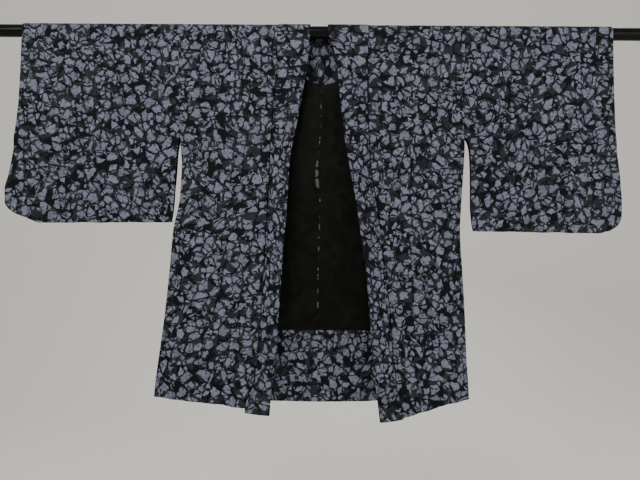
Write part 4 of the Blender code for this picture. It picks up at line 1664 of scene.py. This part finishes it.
@dataclass(frozen=True)
class Studio:
    """Pale floor and sweep, soft lights and the camera at the photograph's angle."""

    frame_width: float = 1.408
    distance: float = 1.60
    aim_x: float = 0.0055
    aim_z: float = -0.4609
    roll_degrees: float = 0.35
    floor_z: float = -1.35
    sweep_back: float = 3.2

    def build_camera(self) -> None:
        """Camera straight in front, level with the middle of the photograph."""
        data = bpy.data.cameras.new("camera")
        data.sensor_width = 36.0
        data.lens = data.sensor_width * self.distance / self.frame_width
        camera = bpy.data.objects.new("camera", data)
        bpy.context.scene.collection.objects.link(camera)
        cloth_face = -(ROD_RADIUS + REST_GAP + CLOTH)
        camera.location = (self.aim_x, cloth_face - self.distance, self.aim_z)
        camera.rotation_euler = (math.pi / 2, -math.radians(self.roll_degrees), 0.0)
        bpy.context.scene.camera = camera

    def build_sweep(self) -> None:
        """Pale floor that curves up into a backdrop far behind the garment."""
        radius = 1.2
        profile = [(-4.0, 0.0), (self.sweep_back - radius, 0.0)]
        profile += [(self.sweep_back - radius + radius * math.sin(a), radius * (1 - math.cos(a)))
                    for a in np.linspace(0.1, math.pi / 2, 14)]
        profile.append((self.sweep_back, 3.6))
        points = np.array([[(x, y, self.floor_z + z) for x in (-5.0, 5.0)] for y, z in profile])
        model = bmesh.new()
        verts = [[model.verts.new(p) for p in row] for row in points]
        for low, high in zip(verts, verts[1:]):
            model.faces.new([low[0], low[1], high[1], high[0]]).smooth = True
        mesh = bpy.data.meshes.new("sweep")
        model.to_mesh(mesh)
        model.free()
        # Matt paper gives the eye an even pale ground with no highlight
        made, shader = new_material("matt_paper", 0.9)
        shader.inputs["Base Color"].default_value = linear("#eeece6")
        mesh.materials.append(made)
        sweep = bpy.data.objects.new("sweep", mesh)
        bpy.context.scene.collection.objects.link(sweep)

    def build_lights(self) -> None:
        """Large soft light from the front and above, a weaker one beside it and one behind."""
        for name, power, size, place in (
                ("key", 62.0, 1.6, (-0.9, -2.3, 1.1)),
                ("fill", 24.0, 2.0, (1.8, -1.9, 0.0)),
                ("back", 26.0, 2.0, (0.6, 2.2, 0.9))):
            data = bpy.data.lights.new(name, "AREA")
            data.energy = power
            data.size = size
            lamp = bpy.data.objects.new(name, data)
            lamp.location = place
            aim = Vector((0.0, 0.0, self.aim_z)) - Vector(place)
            lamp.rotation_euler = aim.to_track_quat("-Z", "Y").to_euler()
            bpy.context.scene.collection.objects.link(lamp)
        world = bpy.data.worlds.new("pale_room")
        world.use_nodes = True
        sky = world.node_tree.nodes["Background"]
        sky.inputs["Color"].default_value = linear("#f2f0ea")
        sky.inputs["Strength"].default_value = 0.55
        bpy.context.scene.world = world

    def build(self) -> None:
        """Builds the camera, the sweep and the lights."""
        self.build_camera()
        self.build_sweep()
        self.build_lights()


def dress_rod(finishes: Finishes) -> None:
    """Gives the rod its enamel.

    Args:
        finishes: The finishes of the garment.
    """
    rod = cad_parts["rod"]
    for material_slot in rod.material_slots:
        material_slot.material = finishes.enamel
    LOG.info("rod: enamelled")


def main() -> None:
    """Builds the garment piece by piece, then the studio."""
    logging.basicConfig(level=logging.INFO, format="%(message)s")
    finishes = Finishes()
    dress_rod(finishes)
    for half in (RIGHT_HALF, LEFT_HALF):
        half.build(finishes)
    for sleeve in SLEEVES:
        sleeve.build(finishes)
    # Pale strip of painted highlight along the lining's centre seam
    LiningSeam(LEFT_HALF).build(finishes)
    Collar(RIGHT_HALF, LEFT_HALF).build(finishes)
    Studio().build()


if __name__ == "__main__":
    main()
